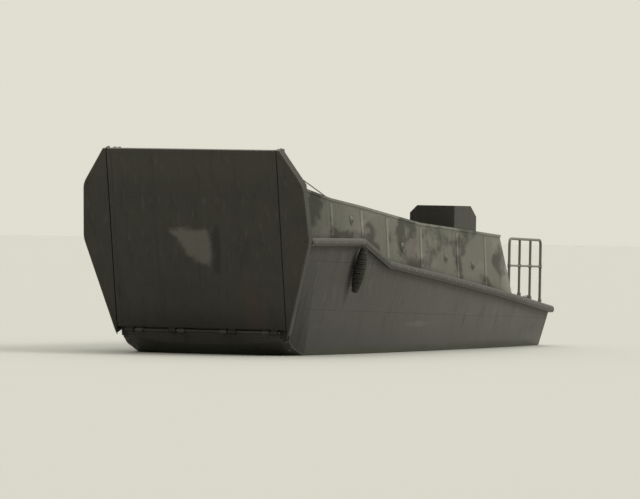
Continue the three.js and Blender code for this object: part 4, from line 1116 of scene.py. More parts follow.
class CRAFT_OT_guards(Operator):
    """Timber guards with a light rubbing face and their bolts, at the sides and the stern"""

    bl_idname = "craft.guards"
    bl_label = "Guards"

    def execute(self, context):
        for node, side in sided("guard"):
            def rubs(centre, normal):
                return normal.x * side > 0.55 or abs(normal.x) > 0.2 and normal.z > 0.1

            rail = plated(node, "hull", "edge", WOOD_EDGE, guard=rubs)
            stations = spaced(*GUARD_RUN, GUARD_BOLT_PITCH)
            places = [from_port("guard_port", y, sheer(y) - GUARD_BOLT_DROP) for y in stations]
            dressed(node, rail, side=side, edge=heads(places, *GUARD_BOLT))
        rail = plated("guard_stern", "hull", "edge", WOOD_EDGE, guard=lambda centre, normal: normal.y > 0.7)
        low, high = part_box("guard_stern")
        middle = (low.z + high.z) / 2
        places = [((x, high.y, middle), Y) for x in spaced(low.x + 0.1, high.x - 0.1, GUARD_BOLT_PITCH)]
        dressed("guard_stern", rail, edge=heads(places, *GUARD_BOLT))
        return {"FINISHED"}


RAMP_BAYS = 4
FRAME_BAR = 0.060
COVER_STRIP = (0.050, 0.0025)
BAY_STEPS = (0.035, 0.06, 0.08)


class CRAFT_OT_ramp(Operator):
    """The ramp: dished front plate with riveted strips, frame with its wire links, and tread deck"""

    bl_idname = "craft.ramp"
    bl_label = "Ramp"

    def execute(self, context):
        sizes = context.scene.craft_sizes
        strip_wide, strip_thick = COVER_STRIP
        half_bar, front = FRAME_BAR / 2, RAMP_FRONT + strip_thick
        columns = spaced(-RAMP_HALF + half_bar, RAMP_HALF - half_bar, (2 * RAMP_HALF - FRAME_BAR) / RAMP_BAYS)
        high_bay = (RAMP_TOP - RAMP_FOOT - FRAME_BAR) / RAMP_BAYS
        rows = spaced(RAMP_FOOT + half_bar, RAMP_TOP - half_bar, high_bay)
        back = RAMP_FRONT + PLATE_THICK
        skin = block((-RAMP_HALF, front, RAMP_FOOT), (RAMP_HALF, back, RAMP_TOP), 0.002, 1)
        with editing(skin):
            for cut, way in [(X * x, X) for x in columns[1:-1]] + [(Z * z, Z) for z in rows[1:-1]]:
                bpy.ops.mesh.select_all(action="SELECT")
                bpy.ops.mesh.bisect(plane_co=cut, plane_no=way)
            pick(skin, lambda centre, normal: normal.y < -0.9)
            bpy.ops.mesh.inset(thickness=FRAME_BAR * 0.6, use_individual=True)
            for narrower in BAY_STEPS:
                bpy.ops.mesh.inset(thickness=narrower, use_individual=True)
                bpy.ops.transform.translate(value=(0, sizes.bay_dish / len(BAY_STEPS), 0))
        lines = [((x, RAMP_FOOT), (x, RAMP_TOP)) for x in columns]
        gap = strip_wide / 2
        lines += [((left + gap, z), (right - gap, z)) for z in rows for left, right in pairwise(columns)]
        ends = [[(x, front, z) for x, z in line] for line in lines]
        strips = [bar(start, end, strip_wide, strip_thick, -Y, 0.001) for start, end in ends]
        lines = [((x, RAMP_FOOT + 0.05), (x, RAMP_TOP - 0.05)) for x in columns]
        lines += [((-RAMP_HALF + 0.10, z), (RAMP_HALF - 0.10, z)) for z in rows]
        ends = [[(x, RAMP_FRONT, z) for x, z in line] for line in lines]
        rivets = studs([(start, end, -Y) for start, end in ends], sizes.rivet_pitch, sizes.rivet_radius, 0.3)
        dressed("ramp_plate", place=FACE, ramp=[shaded(skin), *strips, *rivets])

        links = []
        for side in (1, -1):
            eye = RAMP_EYE_AT * Vector((side, 1, 1))
            links.append(ring(eye + Z * 0.020, 0.020, 0.0055, (0, 1, 0.3), 18))
            links.append(peg(eye, X * 0.016, 0.008, 10))
        dressed("ramp_frame", plated("ramp_frame", "ramp", "dark_edge", BOARD_EDGE), place=FACE, steel=links)

        across, up = (0.05 - RAMP_HALF, RAMP_HALF - 0.05), (RAMP_FOOT + 0.03, RAMP_TOP - 0.03)
        lines = [[(x, RAMP_BACK - SHEET, z) for z in up] for x in across]
        rivets = studs([(*line, Y) for line in lines], sizes.rivet_pitch, 0.008)
        dressed("ramp_deck", plated("ramp_deck", "tread", "edge", BOARD_EDGE), place=FACE, edge=rivets)
        return {"FINISHED"}


BARRELS = (-0.84, -0.28, 0.28, 0.84)
BARREL_HALF, BARREL_RADIUS = 0.045, 0.034
BORE_RADIUS, PIN_RADIUS, PIN_HALF = 0.0155, 0.015, 1.03
STRAP_FRONT, STRAP_BACK = 0.042, 0.0547
STRAP_HALF, STRAP_BOLTS_HALF, STRAP_BOLTS_Z = 1.01, 0.98, -0.052
SEAL_FRONT, SEAL_BACK, SEAL_HALF = 0.046, 0.052, 1.10


class CRAFT_OT_ramp_hinge(Operator):
    """The ramp's hinge: strap, barrels with grease nipples, a long pin and a rubber seal"""

    bl_idname = "craft.ramp_hinge"
    bl_label = "Ramp hinge"

    def execute(self, context):
        seal = [block((-SEAL_HALF, SEAL_FRONT, 0.004), (SEAL_HALF, SEAL_BACK, 0.062), 0.002, 1)]
        seal += both_sides([block((1.00, SEAL_FRONT, -0.090), (SEAL_HALF, SEAL_BACK, 0.006), 0.002, 1)])
        parts = [block((-STRAP_HALF, STRAP_FRONT, -0.070), (STRAP_HALF, STRAP_BACK, 0.005), 0.003, 1)]
        half = BARREL_HALF
        barrel = [(BORE_RADIUS, -half), (BARREL_RADIUS, -half), (BARREL_RADIUS, half), (BORE_RADIUS, half)]
        for x in BARRELS:
            parts.append(turned(barrel, 28, about((x, 0, 0), X)))
            parts.append(block((x - half, 0.001, -0.030), (x + half, STRAP_FRONT + 0.001, 0.004), 0.003, 1))
            parts.append(rod((x, -0.006, -0.030), (x, -0.010, -0.046), 0.006, 0.004, 8))
        ends = [(x, STRAP_FRONT, STRAP_BOLTS_Z) for x in (-STRAP_BOLTS_HALF, STRAP_BOLTS_HALF)]
        bolts = studs([(*ends, -Y)], 0.14, 0.010)
        hinge_pin = rod((-PIN_HALF, 0, 0), (PIN_HALF, 0, 0), PIN_RADIUS, sides=20)
        dressed("ramp_hinge", place=FACE, fitting=parts, dark_edge=[*bolts, hinge_pin], rubber=seal)
        return {"FINISHED"}


EYE_BOLTS_X, EYE_BOLTS_Y = 0.042, 0.065
EYE_DEEP = 0.040
EYE_RING, EYE_RING_THICK, EYE_RING_DROP = 0.052, 0.0095, 0.030


class CRAFT_OT_hoisting_eyes(Operator):
    """Hoisting eyes with their bolts and lifting rings"""

    bl_idname = "craft.hoisting_eyes"
    bl_label = "Hoisting eyes"

    def execute(self, context):
        for node in (name for name in NODES if name.startswith("hoisting_eye_")):
            x, y, _ = middle_of(node)
            rim, _ = reach(node, (x, y, FAR), -Z)
            hole_foot, _ = reach(node, rim - Z * EYE_DEEP, -Z)
            link = ring(hole_foot - Z * EYE_RING_DROP, EYE_RING, EYE_RING_THICK, Y, 24)
            corners = product((x - EYE_BOLTS_X, x + EYE_BOLTS_X), (y - EYE_BOLTS_Y, y + EYE_BOLTS_Y))
            places = [reach(node, (*corner, FAR), -Z) for corner in corners]
            eye = plated(node, "fitting", "edge", BOARD_EDGE)
            dressed(node, eye, steel=[link], edge=heads(places, 0.011))
        return {"FINISHED"}


# Inside the well
TREAD_THICK = 0.010
TREAD, TREAD_STATIONS = (0.045, TREAD_THICK), spaced(-4.05, 0.30, 0.40)
LASHING_PLACES = tuple(product((-0.62, 0.62), (-3.85, -2.65, -1.25, 0.10)))
FLOOR_SLAT, FLOOR_SLAT_AFT = (0.10, 0.012), 2.82
SLAT_RUNS = ((-0.86, 1.35), (-0.72, 1.35), (0.72, 1.85), (0.86, 1.85))


class CRAFT_OT_floors(Operator):
    """Boards of the cargo and machinery floors, with treads, gratings and lashing points"""

    bl_idname = "craft.floors"
    bl_label = "Floors"

    def execute(self, context):
        treads, places, plates = [], [], []
        for y in TREAD_STATIONS:
            half = from_middle("side_port", y, 0.3)[0].x - 0.09
            treads.append(pad(Vector((0, y, FLOOR)), X * half, *TREAD, Z, BOARD_EDGE))
            places += [((x, y, FLOOR + TREAD_THICK), Z) for x in spaced(-half + 0.05, half - 0.05, 0.5)]
        for x, y in LASHING_PLACES:
            plates.append(flange((x, y, FLOOR), Z, 0.070, 0.006, 0.052, 0.008))
            plates.append(ring((x, y, FLOOR + 0.014), 0.038, 0.006, Z, 20, 6))
        floor = plated("cargo_floor", "floor", "edge", BOARD_EDGE)
        dressed("cargo_floor", floor, edge=treads, steel=heads(places, 0.010, 0.35), light_fitting=plates)

        lines = [[(x, y, FLOOR) for y in (fore, FLOOR_SLAT_AFT)] for x, fore in SLAT_RUNS]
        slats = [bar(*line, *FLOOR_SLAT, Z, BOARD_EDGE) for line in lines]
        dressed("machinery_floor", plated("machinery_floor", "floor", "edge", BOARD_EDGE), deck=slats)
        return {"FINISHED"}


STIFFENERS = (-0.58, -0.20, 0.62, 1.12)
STIFFENER_WEB = 0.045
GRAB_RAILS, GRAB_WIDE, GRAB_OUT, GRAB_RADIUS, GRAB_HEIGHT = (-0.02, 0.46), 0.22, 0.06, 0.010, 1.05


class CRAFT_OT_bulkhead(Operator):
    """Steel bulkhead with stiffeners, capping and foot angles and grab rails"""

    bl_idname = "craft.bulkhead"
    bl_label = "Bulkhead"

    def execute(self, context):
        low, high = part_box("bulkhead")
        parts, rows, rails = [], [], []
        for x in STIFFENERS:
            foot, head = Vector((x, low.y, low.z + 0.02)), Vector((x, low.y, high.z - 0.06))
            parts.append(bar(foot, head, 0.055, SHEET, -Y))
            parts.append(bar(foot - X * 0.024, head - X * 0.024, SHEET, STIFFENER_WEB, -Y, 0.001))
            rows.append((foot + Vector((0.010, -SHEET, 0.03)), head + Vector((0.010, -SHEET, -0.03)), -Y))
        for z, width in ((high.z - 0.028, 0.056), (low.z + 0.03, 0.050)):
            parts.append(bar((low.x + 0.01, low.y, z), (high.x - 0.03, low.y, z), width, SHEET, -Y))
            rows.append(((low.x + 0.06, low.y - SHEET, z), (high.x - 0.06, low.y - SHEET, z), -Y))
        for x in GRAB_RAILS:
            path = [(x, 0.001), (x, GRAB_OUT), (x + GRAB_WIDE, GRAB_OUT), (x + GRAB_WIDE, 0.001)]
            path = [(across, low.y - out, GRAB_HEIGHT) for across, out in path]
            rails.append(tube(rounded_path(path, 0.025), GRAB_RADIUS))
        rivets = studs(rows, context.scene.craft_sizes.rivet_pitch, 0.007)
        plate = plated("bulkhead", "inside", "edge")
        dressed("bulkhead", plate, inside=[*parts, *rivets], light_fitting=rails)
        return {"FINISHED"}


SHIELD_THICK, SHIELD_AFT = 0.016, 1.28


class CRAFT_OT_coxswain_shield(Operator):
    """The coxswain's steel shield with edge angles and bolts"""

    bl_idname = "craft.coxswain_shield"
    bl_label = "Coxswain's shield"

    def execute(self, context):
        low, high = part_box("coxswain_shield")
        outer = from_port("coxswain_shield", 1.2, high.z - 0.2)[0].x
        x, y, aft = outer - SHIELD_THICK, low.y + SHIELD_THICK, SHIELD_AFT
        # Each angle iron: its ends, its width and the way it faces
        flats = [
            ((x, y, high.z - 0.35), (x, aft, high.z - 0.35), 0.05, -X),
            ((x, y + 0.02, low.z + 0.52), (x, y + 0.02, high.z - 0.02), 0.04, -X),
            ((1.02, y, high.z - 0.03), (x - 0.01, y, high.z - 0.03), 0.05, Y),
            ((0.925, y, low.z + 0.03), (0.925, y, high.z - 0.15), 0.04, Y),
        ]
        rows = [
            ((outer, low.y + 0.05, high.z - 0.04), (outer, aft, high.z - 0.04), X),
            ((outer, low.y + 0.04, low.z + 0.54), (outer, low.y + 0.04, high.z - 0.10), X),
            ((1.04, low.y, high.z - 0.04), (x - 0.02, low.y, high.z - 0.04), -Y),
            ((0.935, low.y, low.z + 0.05), (0.935, low.y, high.z - 0.15), -Y),
        ]
        angles = [bar(start, end, width, SHEET, out) for start, end, width, out in flats]
        shield = plated("coxswain_shield", "ramp", "dark_edge")
        dressed("coxswain_shield", shield, dark_edge=angles, ramp=studs(rows, 0.09, 0.008))
        return {"FINISHED"}


WHEEL_RADIUS = 0.230
LEVER_KNOB = ((0.006, -0.016), (0.015, -0.010), (0.018, 0.0), (0.015, 0.010), (0.006, 0.016))
WHEEL_HUB = ((0.020, -0.044), (0.034, -0.040), (0.034, 0.006), (0.026, 0.018), (0.010, 0.026), (0.004, 0.026))
WHEEL_HOUSING = ((0.082, -0.075), (0.088, -0.070), (0.088, -0.052), (0.060, -0.046))
DIAL_PLATE = Vector((0.130, 0, 0.055))
DIAL_PLATE_THICK = 0.0145
COVER_HEIGHTS, COVER_Y = (0.70, 0.55), 0.80
# Each lever: its place across, and how far its head leans
LEVERS, LEVER_FOOT_Z = ((0.86, 0.05), (0.92, -0.03)), 0.98
LEVER_BACK, LEVER_HIGH = -0.05, 0.19
HOUSING_BOLT, HOUSING_BOLT_OUT, HOUSING_BOLT_Z = 0.007, 0.074, 0.049
GRIP_THICK, SPOKES = 0.015, 5
CLEAT_BAR, KICK_BOARD = (0.05, 0.012), (0.08, 0.012)


class CRAFT_OT_steering(Operator):
    """Steering stand with its dials and levers, the steering wheel and the coxswain's platform"""

    bl_idname = "craft.steering"
    bl_label = "Steering"

    def execute(self, context):
        housing = about(WHEEL_AT, WHEEL_AXIS)
        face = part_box("steering_stand")[0].x
        painted_parts = [turned(WHEEL_HOUSING, 28, housing)]
        places = [housing @ (way * HOUSING_BOLT_OUT - Z * HOUSING_BOLT_Z) for way in ways_round(6)]
        bright = heads([(place, WHEEL_AXIS) for place in places], HOUSING_BOLT)
        knobs, dials = [], []
        for height in COVER_HEIGHTS:
            foot = Vector((face, COVER_Y, height))
            painted_parts.append(flange(foot, -X, 0.040, 0.012, 0.030, 0.016))
            bright.append(rod(foot - X * 0.016, foot - X * 0.030, 0.010, sides=10))
        for y, lean in LEVERS:
            foot = Vector((face, y, LEVER_FOOT_Z))
            head = foot + Vector((LEVER_BACK, lean, LEVER_HIGH))
            painted_parts.append(flange(foot, -X, 0.030, 0.012, 0.020, 0.016, 16))
            bright.append(rod(foot - X * 0.010, head, 0.007, 0.005, 10))
            knobs.append(turned(LEVER_KNOB, 16, about(head, head - foot), ROUND_BEND))
        painted_parts.append(block(DIALS_AT - DIAL_PLATE - Y * DIAL_PLATE_THICK, DIALS_AT + DIAL_PLATE))
        for step in (-1, 0, 1):
            place = DIALS_AT + X * (step * DIAL_PITCH)
            dials.append(turned([(DIAL_RADIUS, -0.002), (DIAL_RADIUS, 0.002)], 28, about(place, Y)))
            bright.append(ring(place + Y * 0.002, DIAL_RADIUS, 0.0035, Y))
        stand = plated("steering_stand", "light_fitting", "edge", PANEL_EDGE)
        dressed("steering_stand", stand, fitting=painted_parts, steel=bright, rubber=knobs, dial=dials)

        grips = [ring((0, 0, 0), WHEEL_RADIUS, GRIP_THICK, sides=56, section=12)]
        metal = [turned(WHEEL_HUB, 28)]
        for way in ways_round(SPOKES, 1.25):
            metal.append(rod(way * 0.022, way * (WHEEL_RADIUS - 0.006), 0.012, 0.009, 12))
            grips.append(rod(way * (WHEEL_RADIUS + 0.001), way * (WHEEL_RADIUS - 0.022), 0.016, 0.010, 12))
        dressed("steering_wheel", place=housing, rubber=grips, steel=metal)

        low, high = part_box("coxswain_platform")
        edges = [low.y + 0.05, high.y - 0.05]
        cleats = [
            bar(*((x, y, high.z) for y in edges), *CLEAT_BAR, Z, HATCH_EDGE)
            for x in spaced(low.x + 0.12, high.x - 0.12, 0.16)
        ]
        kick = bar(*((low.x, y, high.z - 0.13) for y in (low.y + 0.03, high.y - 0.03)), *KICK_BOARD, -X)
        platform = plated("coxswain_platform", "inside", "edge", PANEL_EDGE, deck=looks_up)
        dressed("coxswain_platform", platform, floor=[*cleats, kick])
        return {"FINISHED"}


WINCH_IN, WINCH_OUT = -0.760, -1.110
GEAR_TEETH, GEAR_BORE, GEAR_RADIUS, TOOTH_HIGH = 24, 0.030, 0.128, 0.011
CRANK_LONG, CRANK_HALF, CRANK_THICK = 0.300, 0.018, 0.016
FRAME_BOLT, FRAME_TIE, FRAME_TIE_OUT = 0.014, 0.014, 0.11
CRANK_GRIP = ((0.010, 0), (0.016, 0.006), (0.0175, 0.050), (0.015, 0.100), (0.0165, 0.122), (0.010, 0.128))
DRUM_CHEEK = ((0.040, 0), (0.121, 0), (0.125, 0.003), (0.125, 0.009), (0.121, 0.012), (0.040, 0.012))


class CRAFT_OT_winch(Operator):
    """The ramp winch: frame, drum with its wire, toothed gear and crank"""

    bl_idname = "craft.winch"
    bl_label = "Ramp winch"

    def execute(self, context):
        wire_radius = context.scene.craft_sizes.wire_radius

        def across(outline, start=0.0, sides=28):
            return turned(outline, sides, about((start, 0, 0), X))

        parts = [across([(DRUM_RADIUS, WINCH_OUT + 0.031), (DRUM_RADIUS, WINCH_IN - 0.021)])]
        parts += [across(DRUM_CHEEK, x, 36) for x in (WINCH_OUT + 0.030, WINCH_IN - 0.032)]
        fore, aft = WINCH_OUT - 0.016, WINCH_IN + 0.090
        parts.append(across([(0.026, fore), (0.030, fore + 0.004), (0.030, aft - 0.004), (0.026, aft)]))
        inner, outer = WINCH_IN + 0.024, WINCH_IN + 0.044
        outline = [(GEAR_BORE, inner), (GEAR_RADIUS, inner), (GEAR_RADIUS, outer), (GEAR_BORE, outer)]
        gear = turned(outline, GEAR_TEETH * 2)
        ways = ways_round(GEAR_TEETH, 0.25)
        with editing(gear, "DESELECT"):
            pick(gear, lambda centre, normal: any(normal.dot(way) > 0.9995 for way in ways))
            bpy.ops.mesh.extrude_faces_move(TRANSFORM_OT_shrink_fatten={"value": TOOTH_HIGH})
        parts.append(settled(shaded(gear), about((0, 0, 0), X)))
        arm_in = WINCH_IN + 0.074
        arm_out = arm_in + CRANK_THICK
        parts.append(block((arm_in, -CRANK_HALF, -0.020), (arm_out, CRANK_HALF, CRANK_LONG), 0.006))
        parts.append(flange((arm_out, 0, 0), X, 0.022, 0.012, 0.012, 0.018, 6))
        grip_at = about((arm_in + CRANK_THICK / 2, 0, CRANK_LONG - 0.020), X)
        grip = turned(CRANK_GRIP, 20, grip_at, GRIP_BEND)
        pitch = wire_radius * 2.05
        turns = int((WINCH_IN - WINCH_OUT - 0.075) / pitch)
        lap = ring((WINCH_OUT + 0.050, 0, 0), DRUM_RADIUS + wire_radius, wire_radius, (1, 0, 0.02), 24)
        coil = repeated(lap, turns, X * pitch)
        place = Matrix.Translation((0, *WINCH_AT.yz))
        dressed("winch_drum", place=place, fitting=parts, deck=[grip], wire=[coil])

        low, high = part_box("winch_frame")
        corners = product((low.x + 0.06, high.x - 0.06), (low.y + 0.03, high.y - 0.03))
        bolts = heads([((x, y, FLOOR + 0.024), Z) for x, y in corners], FRAME_BOLT)
        cap = flange((low.x + 0.002, *WINCH_AT.yz), -X, 0.052, 0.006, 0.033, 0.010, 24)
        ties = [
            rod((low.x + 0.01, y, 0.20), (high.x - 0.01, y, 0.20), FRAME_TIE, sides=12)
            for y in (WINCH_AT.y - FRAME_TIE_OUT, WINCH_AT.y + FRAME_TIE_OUT)
        ]
        dressed("winch_frame", plated("winch_frame", "fitting", "edge"), steel=bolts, fitting=[cap, *ties])
        return {"FINISHED"}


BLOCKS_X = (-0.66, 1.085)
BLOCK_OUT = 0.080
BLOCK_Z = 1.13
BLOCK_BEND = 0.045
BLOCK_SHEAVE_HALF, BLOCK_RIM = 0.012, 0.010
BULKHEAD_FREE = (-0.60, 1.15)
BLOCK_ARM, BLOCK_FOOT, BLOCK_PIN = (0.030, 0.006), (0.09, 0.008), 0.009
WRAP = [math.radians(degrees) for degrees in (0, 20, 50, 80, 105)]


def guide_block(before, at, after, wire):
    """A small block on the bulkhead that leads a wire round a corner."""
    come, leave = (at - before).normalized(), (after - at).normalized()
    half_turn = come.angle(leave) / 2
    run = BLOCK_BEND / math.tan(half_turn)
    centre = at + (leave - come).normalized() * (run / math.cos(half_turn))
    groove = max(0.012, run - wire)
    axis = come.cross(leave).normalized()
    half, rim = BLOCK_SHEAVE_HALF, groove + BLOCK_RIM
    outline = [(0.004, -half), (rim, -half), (groove, -0.004), (groove, 0.004), (rim, half), (0.004, half)]
    wheel = turned(outline, 24, about(centre, axis))
    least, most = BULKHEAD_FREE
    hanger = Vector((min(max(centre.x, least), most), BULKHEAD_Y, centre.z))
    cheeks = [
        rod(centre + axis * low, centre + axis * high, groove + 0.004, sides=20)
        for low, high in ((-0.020, -0.014), (0.014, 0.020))
    ]
    shifts = (axis * -0.023, axis * 0.017)
    arms = [bar(centre + shift, hanger + shift, *BLOCK_ARM, axis) for shift in shifts]
    foot = pad(hanger, Z * 0.06, *BLOCK_FOOT, -Y)
    return [wheel, *cheeks, peg(centre, axis * 0.026, BLOCK_PIN, 10), *arms, foot]


class CRAFT_OT_wires(Operator):
    """The taut hoisting wires from the winch to the sheaves on the bow cheeks"""

    bl_idname = "craft.wires"
    bl_label = "Hoisting wires"

    def execute(self, context):
        radius = context.scene.craft_sizes.wire_radius
        lead = SHEAVE_GROOVE + radius
        near, far = (Vector((x, BULKHEAD_Y - BLOCK_OUT, BLOCK_Z)) for x in BLOCKS_X)
        drum = Vector((-0.93, WINCH_AT.y - 0.03, WINCH_AT.z + DRUM_RADIUS + radius))

        def over(side, start):
            """The wire from a point up and over a cheek's sheave, ending in its socket ahead of it."""
            centre = FACE @ (SHEAVE_AT * Vector((side, 1, 1)))
            back = (centre - start).normalized()
            up = Vector((0, -back.z, back.y))
            return [start, *(centre + (up * math.cos(turn) + back * math.sin(turn)) * lead for turn in WRAP)]

        starboard = over(-1, drum - X * 0.10)
        port = over(1, far)
        route = [drum + X * 0.06, near, *port]
        wires = [tube(starboard, radius), tube(rounded_path(route[:4], BLOCK_BEND) + route[4:], radius)]
        blocks = [*guide_block(*route[:3], radius), *guide_block(*route[1:4], radius)]
        sockets = []
        for *_, before, end in (starboard, port):
            way = (end - before).normalized()
            sockets.append(rod(end - way * 0.004, end + way * 0.050, radius * 1.3, radius * 2.1, 12))
        pieces = coloured(wires, "wire") + coloured(blocks, "fitting") + coloured(sockets, "steel")
        finished("hoisting_wires", "hull", pieces)
        return {"FINISHED"}


LID_HINGE = pivot("engine_lid_port_hinge")
LID_HINGE_STATIONS = (0.98, 1.70, 2.42)
KNUCKLE_RADIUS = 0.0075
LOUVRE_STATIONS = (1.37, 1.99)
LOUVRE_HALF, LOUVRE_HEIGHTS = 0.17, spaced(0.50, 0.80, 0.05)
LOUVRE, LOUVRE_FRAME, LOUVRE_FRAME_HIGH = (0.040, 0.004), 0.010, 0.42
BOX_POST, BOX_RAIL, HINGE_LEAF = (0.06, 0.014), (0.06, 0.012), (0.06, 0.005)


class CRAFT_OT_engine_box(Operator):
    """The engine box with its corner posts, louvres and lid hinges"""

    bl_idname = "craft.engine_box"
    bl_label = "Engine box"

    def execute(self, context):
        low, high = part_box("engine_box")
        frames, louvres, hinges = [], [], []

        def post(x, y, out):
            frames.append(bar((x, y, low.z + 0.01), (x, y, high.z - 0.01), *BOX_POST, out))

        for x, way in ((low.x, -1), (high.x, 1)):
            for y in spaced(low.y + 0.03, high.y - 0.03, 0.62):
                post(x, y, X * way)
            for y in LOUVRE_STATIONS:
                for z in LOUVRE_HEIGHTS:
                    middle = Vector((x + way * 0.010, y, z))
                    louvres.append(pad(middle, Y * LOUVRE_HALF, *LOUVRE, (way * 0.72, 0, 0.70), 0.001))
                for aside in (-LOUVRE_HALF - 0.01, LOUVRE_HALF + 0.01):
                    middle = Vector((x, y + aside, 0.65))
                    louvres.append(pad(middle, Y * 0.01, LOUVRE_FRAME_HIGH, LOUVRE_FRAME, X * way))
            for y in LID_HINGE_STATIONS:
                at = Vector((way * LID_HINGE.x, y, LID_HINGE.z))
                leaf = at - X * way * 0.012
                hinges.append(bar(leaf - Z * 0.10, leaf - Z * 0.012, *HINGE_LEAF, X * way))
                hinges += [peg(at + Y * aside, Y * 0.0145, KNUCKLE_RADIUS, 12) for aside in (-0.0305, 0.0305)]
        for y, way in ((low.y, -1), (high.y, 1)):
            for x in (low.x + 0.03, 0, high.x - 0.03):
                post(x, y, Y * way)
            ends = [(x, y, high.z - 0.04) for x in (low.x + 0.06, high.x - 0.06)]
            frames.append(bar(*ends, *BOX_RAIL, Y * way))
        box = plated("engine_box", "crate", "edge", WOOD_EDGE)
        dressed("engine_box", box, inside=frames, fitting=louvres, steel=hinges)
        return {"FINISHED"}


LIFT_STATIONS, LIFT_RING, LIFT_RING_THICK = (1.35, 2.05), 0.032, 0.0055
LID_LEAF, LIFT_PLATE, LID_BATTEN = (0.050, 0.005), (0.06, 0.004), (0.045, SHEET)
LEAF_SCREWS = (0.42, 0.48)


class CRAFT_OT_engine_lids(Operator):
    """The two engine lids with their battens, hinge leaves and lift rings"""

    bl_idname = "craft.engine_lids"
    bl_label = "Engine lids"

    def execute(self, context):
        low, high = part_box("engine_lid_port")
        top = reach("engine_lid_port", (0.27, 0.85, FAR), -Z)[0].z

        def on_batten(centre, normal):
            return centre.z > top + 0.003

        for node, side in sided("engine_lid"):
            lid = plated(node, "crate", "edge", PANEL_EDGE, deck=looks_up, batten=on_batten)
            metal = []
            for y in LID_HINGE_STATIONS:
                metal.append(peg(Vector((LID_HINGE.x, y, LID_HINGE.z)), Y * 0.013, KNUCKLE_RADIUS, 12))
                leaf = [(LID_HINGE.x - inward, y, top) for inward in (0.004, 0.16)]
                metal.append(bar(*leaf, *LID_LEAF, Z))
            for y in LIFT_STATIONS:
                metal.append(pad(Vector((0.075, y, top)), Y * 0.05, *LIFT_PLATE, Z))
                metal.append(ring((0.080, y, top + 0.008), LIFT_RING, LIFT_RING_THICK, (0.1, 0, 1), 20, 6))
            screws = product(LEAF_SCREWS, LID_HINGE_STATIONS)
            metal += heads([((x, y, top + 0.005), Z) for x, y in screws], 0.008)
            battens = [
                bar((x, low.y + 0.01, top), (x, high.y - 0.01, top), *LID_BATTEN, Z)
                for x in (low.x + 0.024, high.x - 0.19)
            ]
            dressed(node, lid, side=side, steel=metal, batten=battens)
        return {"FINISHED"}


COVER_STATIONS, COVER_HALF, COVER_HIGH = (1.24, 1.76), (0.150, 0.235), 0.060
COVER_BOLT, COVER_BOLT_X, COVER_BOLTS_ALONG = 0.013, 0.168, (-0.2, -0.07, 0.07, 0.2)
INTAKE_LOW, INTAKE_HIGH = (-0.322, 1.20, 0.54), (-0.208, 1.80, 0.72)
EXHAUST_RADIUS, BRANCH_RADIUS, HOSE_RADIUS = 0.050, 0.036, 0.028
BRANCH_STATIONS = spaced(1.10, 1.90, 0.16)
FILTER_STATIONS = (1.35, 1.62)
FILTER = ((0.05, 0), (0.062, 0.01), (0.062, 0.16), (0.05, 0.18), (0.015, 0.19))
PULLEY = (
    (0.02, -0.03), (0.10, -0.03), (0.10, -0.02), (0.082, -0.008), (0.10, 0.006), (0.10, 0.016), (0.02, 0.016)
)
PULLEY_PLACES = ((0.0, 0.10), (0.0, 0.48), (0.17, 0.33))
EXHAUST_PATH = ((0.30, 1.02, 0.66), (0.30, 1.98, 0.66), (0.30, 2.12, 0.50), (0.30, 2.30, 0.20))
WATER_HOSE = ((-0.12, 0.95, 0.52), (-0.12, 0.86, 0.62), (-0.12, 0.90, 0.80), (-0.10, 1.02, 0.80))
OIL_HOSE = ((-0.33, 2.0, 0.40), (-0.30, 1.9, 0.56), (-0.26, 1.82, 0.62))
FUEL_HOSE = ((0.22, 1.15, 0.78), (0.10, 1.35, 0.835), (-0.10, 1.50, 0.835), (-0.24, 1.55, 0.74))


class CRAFT_OT_engine(Operator):
    """The engine as it shows with a lid open: block, covers, manifold, pipes, filters and pulleys"""

    bl_idname = "craft.engine"
    bl_label = "Engine"

    def execute(self, context):
        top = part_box("engine")[1].z
        painted_parts = [block(INTAKE_LOW, INTAKE_HIGH, 0.03, 3)]
        for y in COVER_STATIONS:
            half_x, half_y = COVER_HALF
            corners = (-half_x, y - half_y, top - 0.002), (half_x, y + half_y, top + COVER_HIGH)
            painted_parts.append(block(*corners, 0.03, 3))
            places = product((-COVER_BOLT_X, COVER_BOLT_X), COVER_BOLTS_ALONG)
            painted_parts += heads([((x, y + along, top + 0.001), Z) for x, along in places], COVER_BOLT)
        painted_parts += [turned(FILTER, 24, Matrix.Translation((-0.268, y, 0.725))) for y in FILTER_STATIONS]
        pipes = [tube(rounded_path(EXHAUST_PATH, 0.05), EXHAUST_RADIUS, 16)]
        pipes += [rod((0.19, y, 0.64), (0.30, y, 0.66), BRANCH_RADIUS, sides=14) for y in BRANCH_STATIONS]
        pulleys = [turned(PULLEY, 28, about((x, 0.875, z), Y)) for x, z in PULLEY_PLACES]
        hoses = [tube(rounded_path(WATER_HOSE, 0.05), HOSE_RADIUS, 12)]
        hoses += [tube(OIL_HOSE, 0.016, smooth=True), tube(FUEL_HOSE, 0.008, smooth=True)]
        body = plated("engine", "engine", "engine", 0.02)
        dressed("engine", body, engine=painted_parts, steel=[*pipes, *pulleys], rubber=hoses)
        return {"FINISHED"}


HATCH_RIM = (0.034, 0.022)
STAYS, STAY_WIDE, STAY_UP, STAY_OUT = 12, 0.040, (0.10, 0.007), (0.055, 0.005)
BEAD_RADIUS, BEAD_THICK, COAMING_FOOT_RADIUS = 0.469, 0.016, 0.499


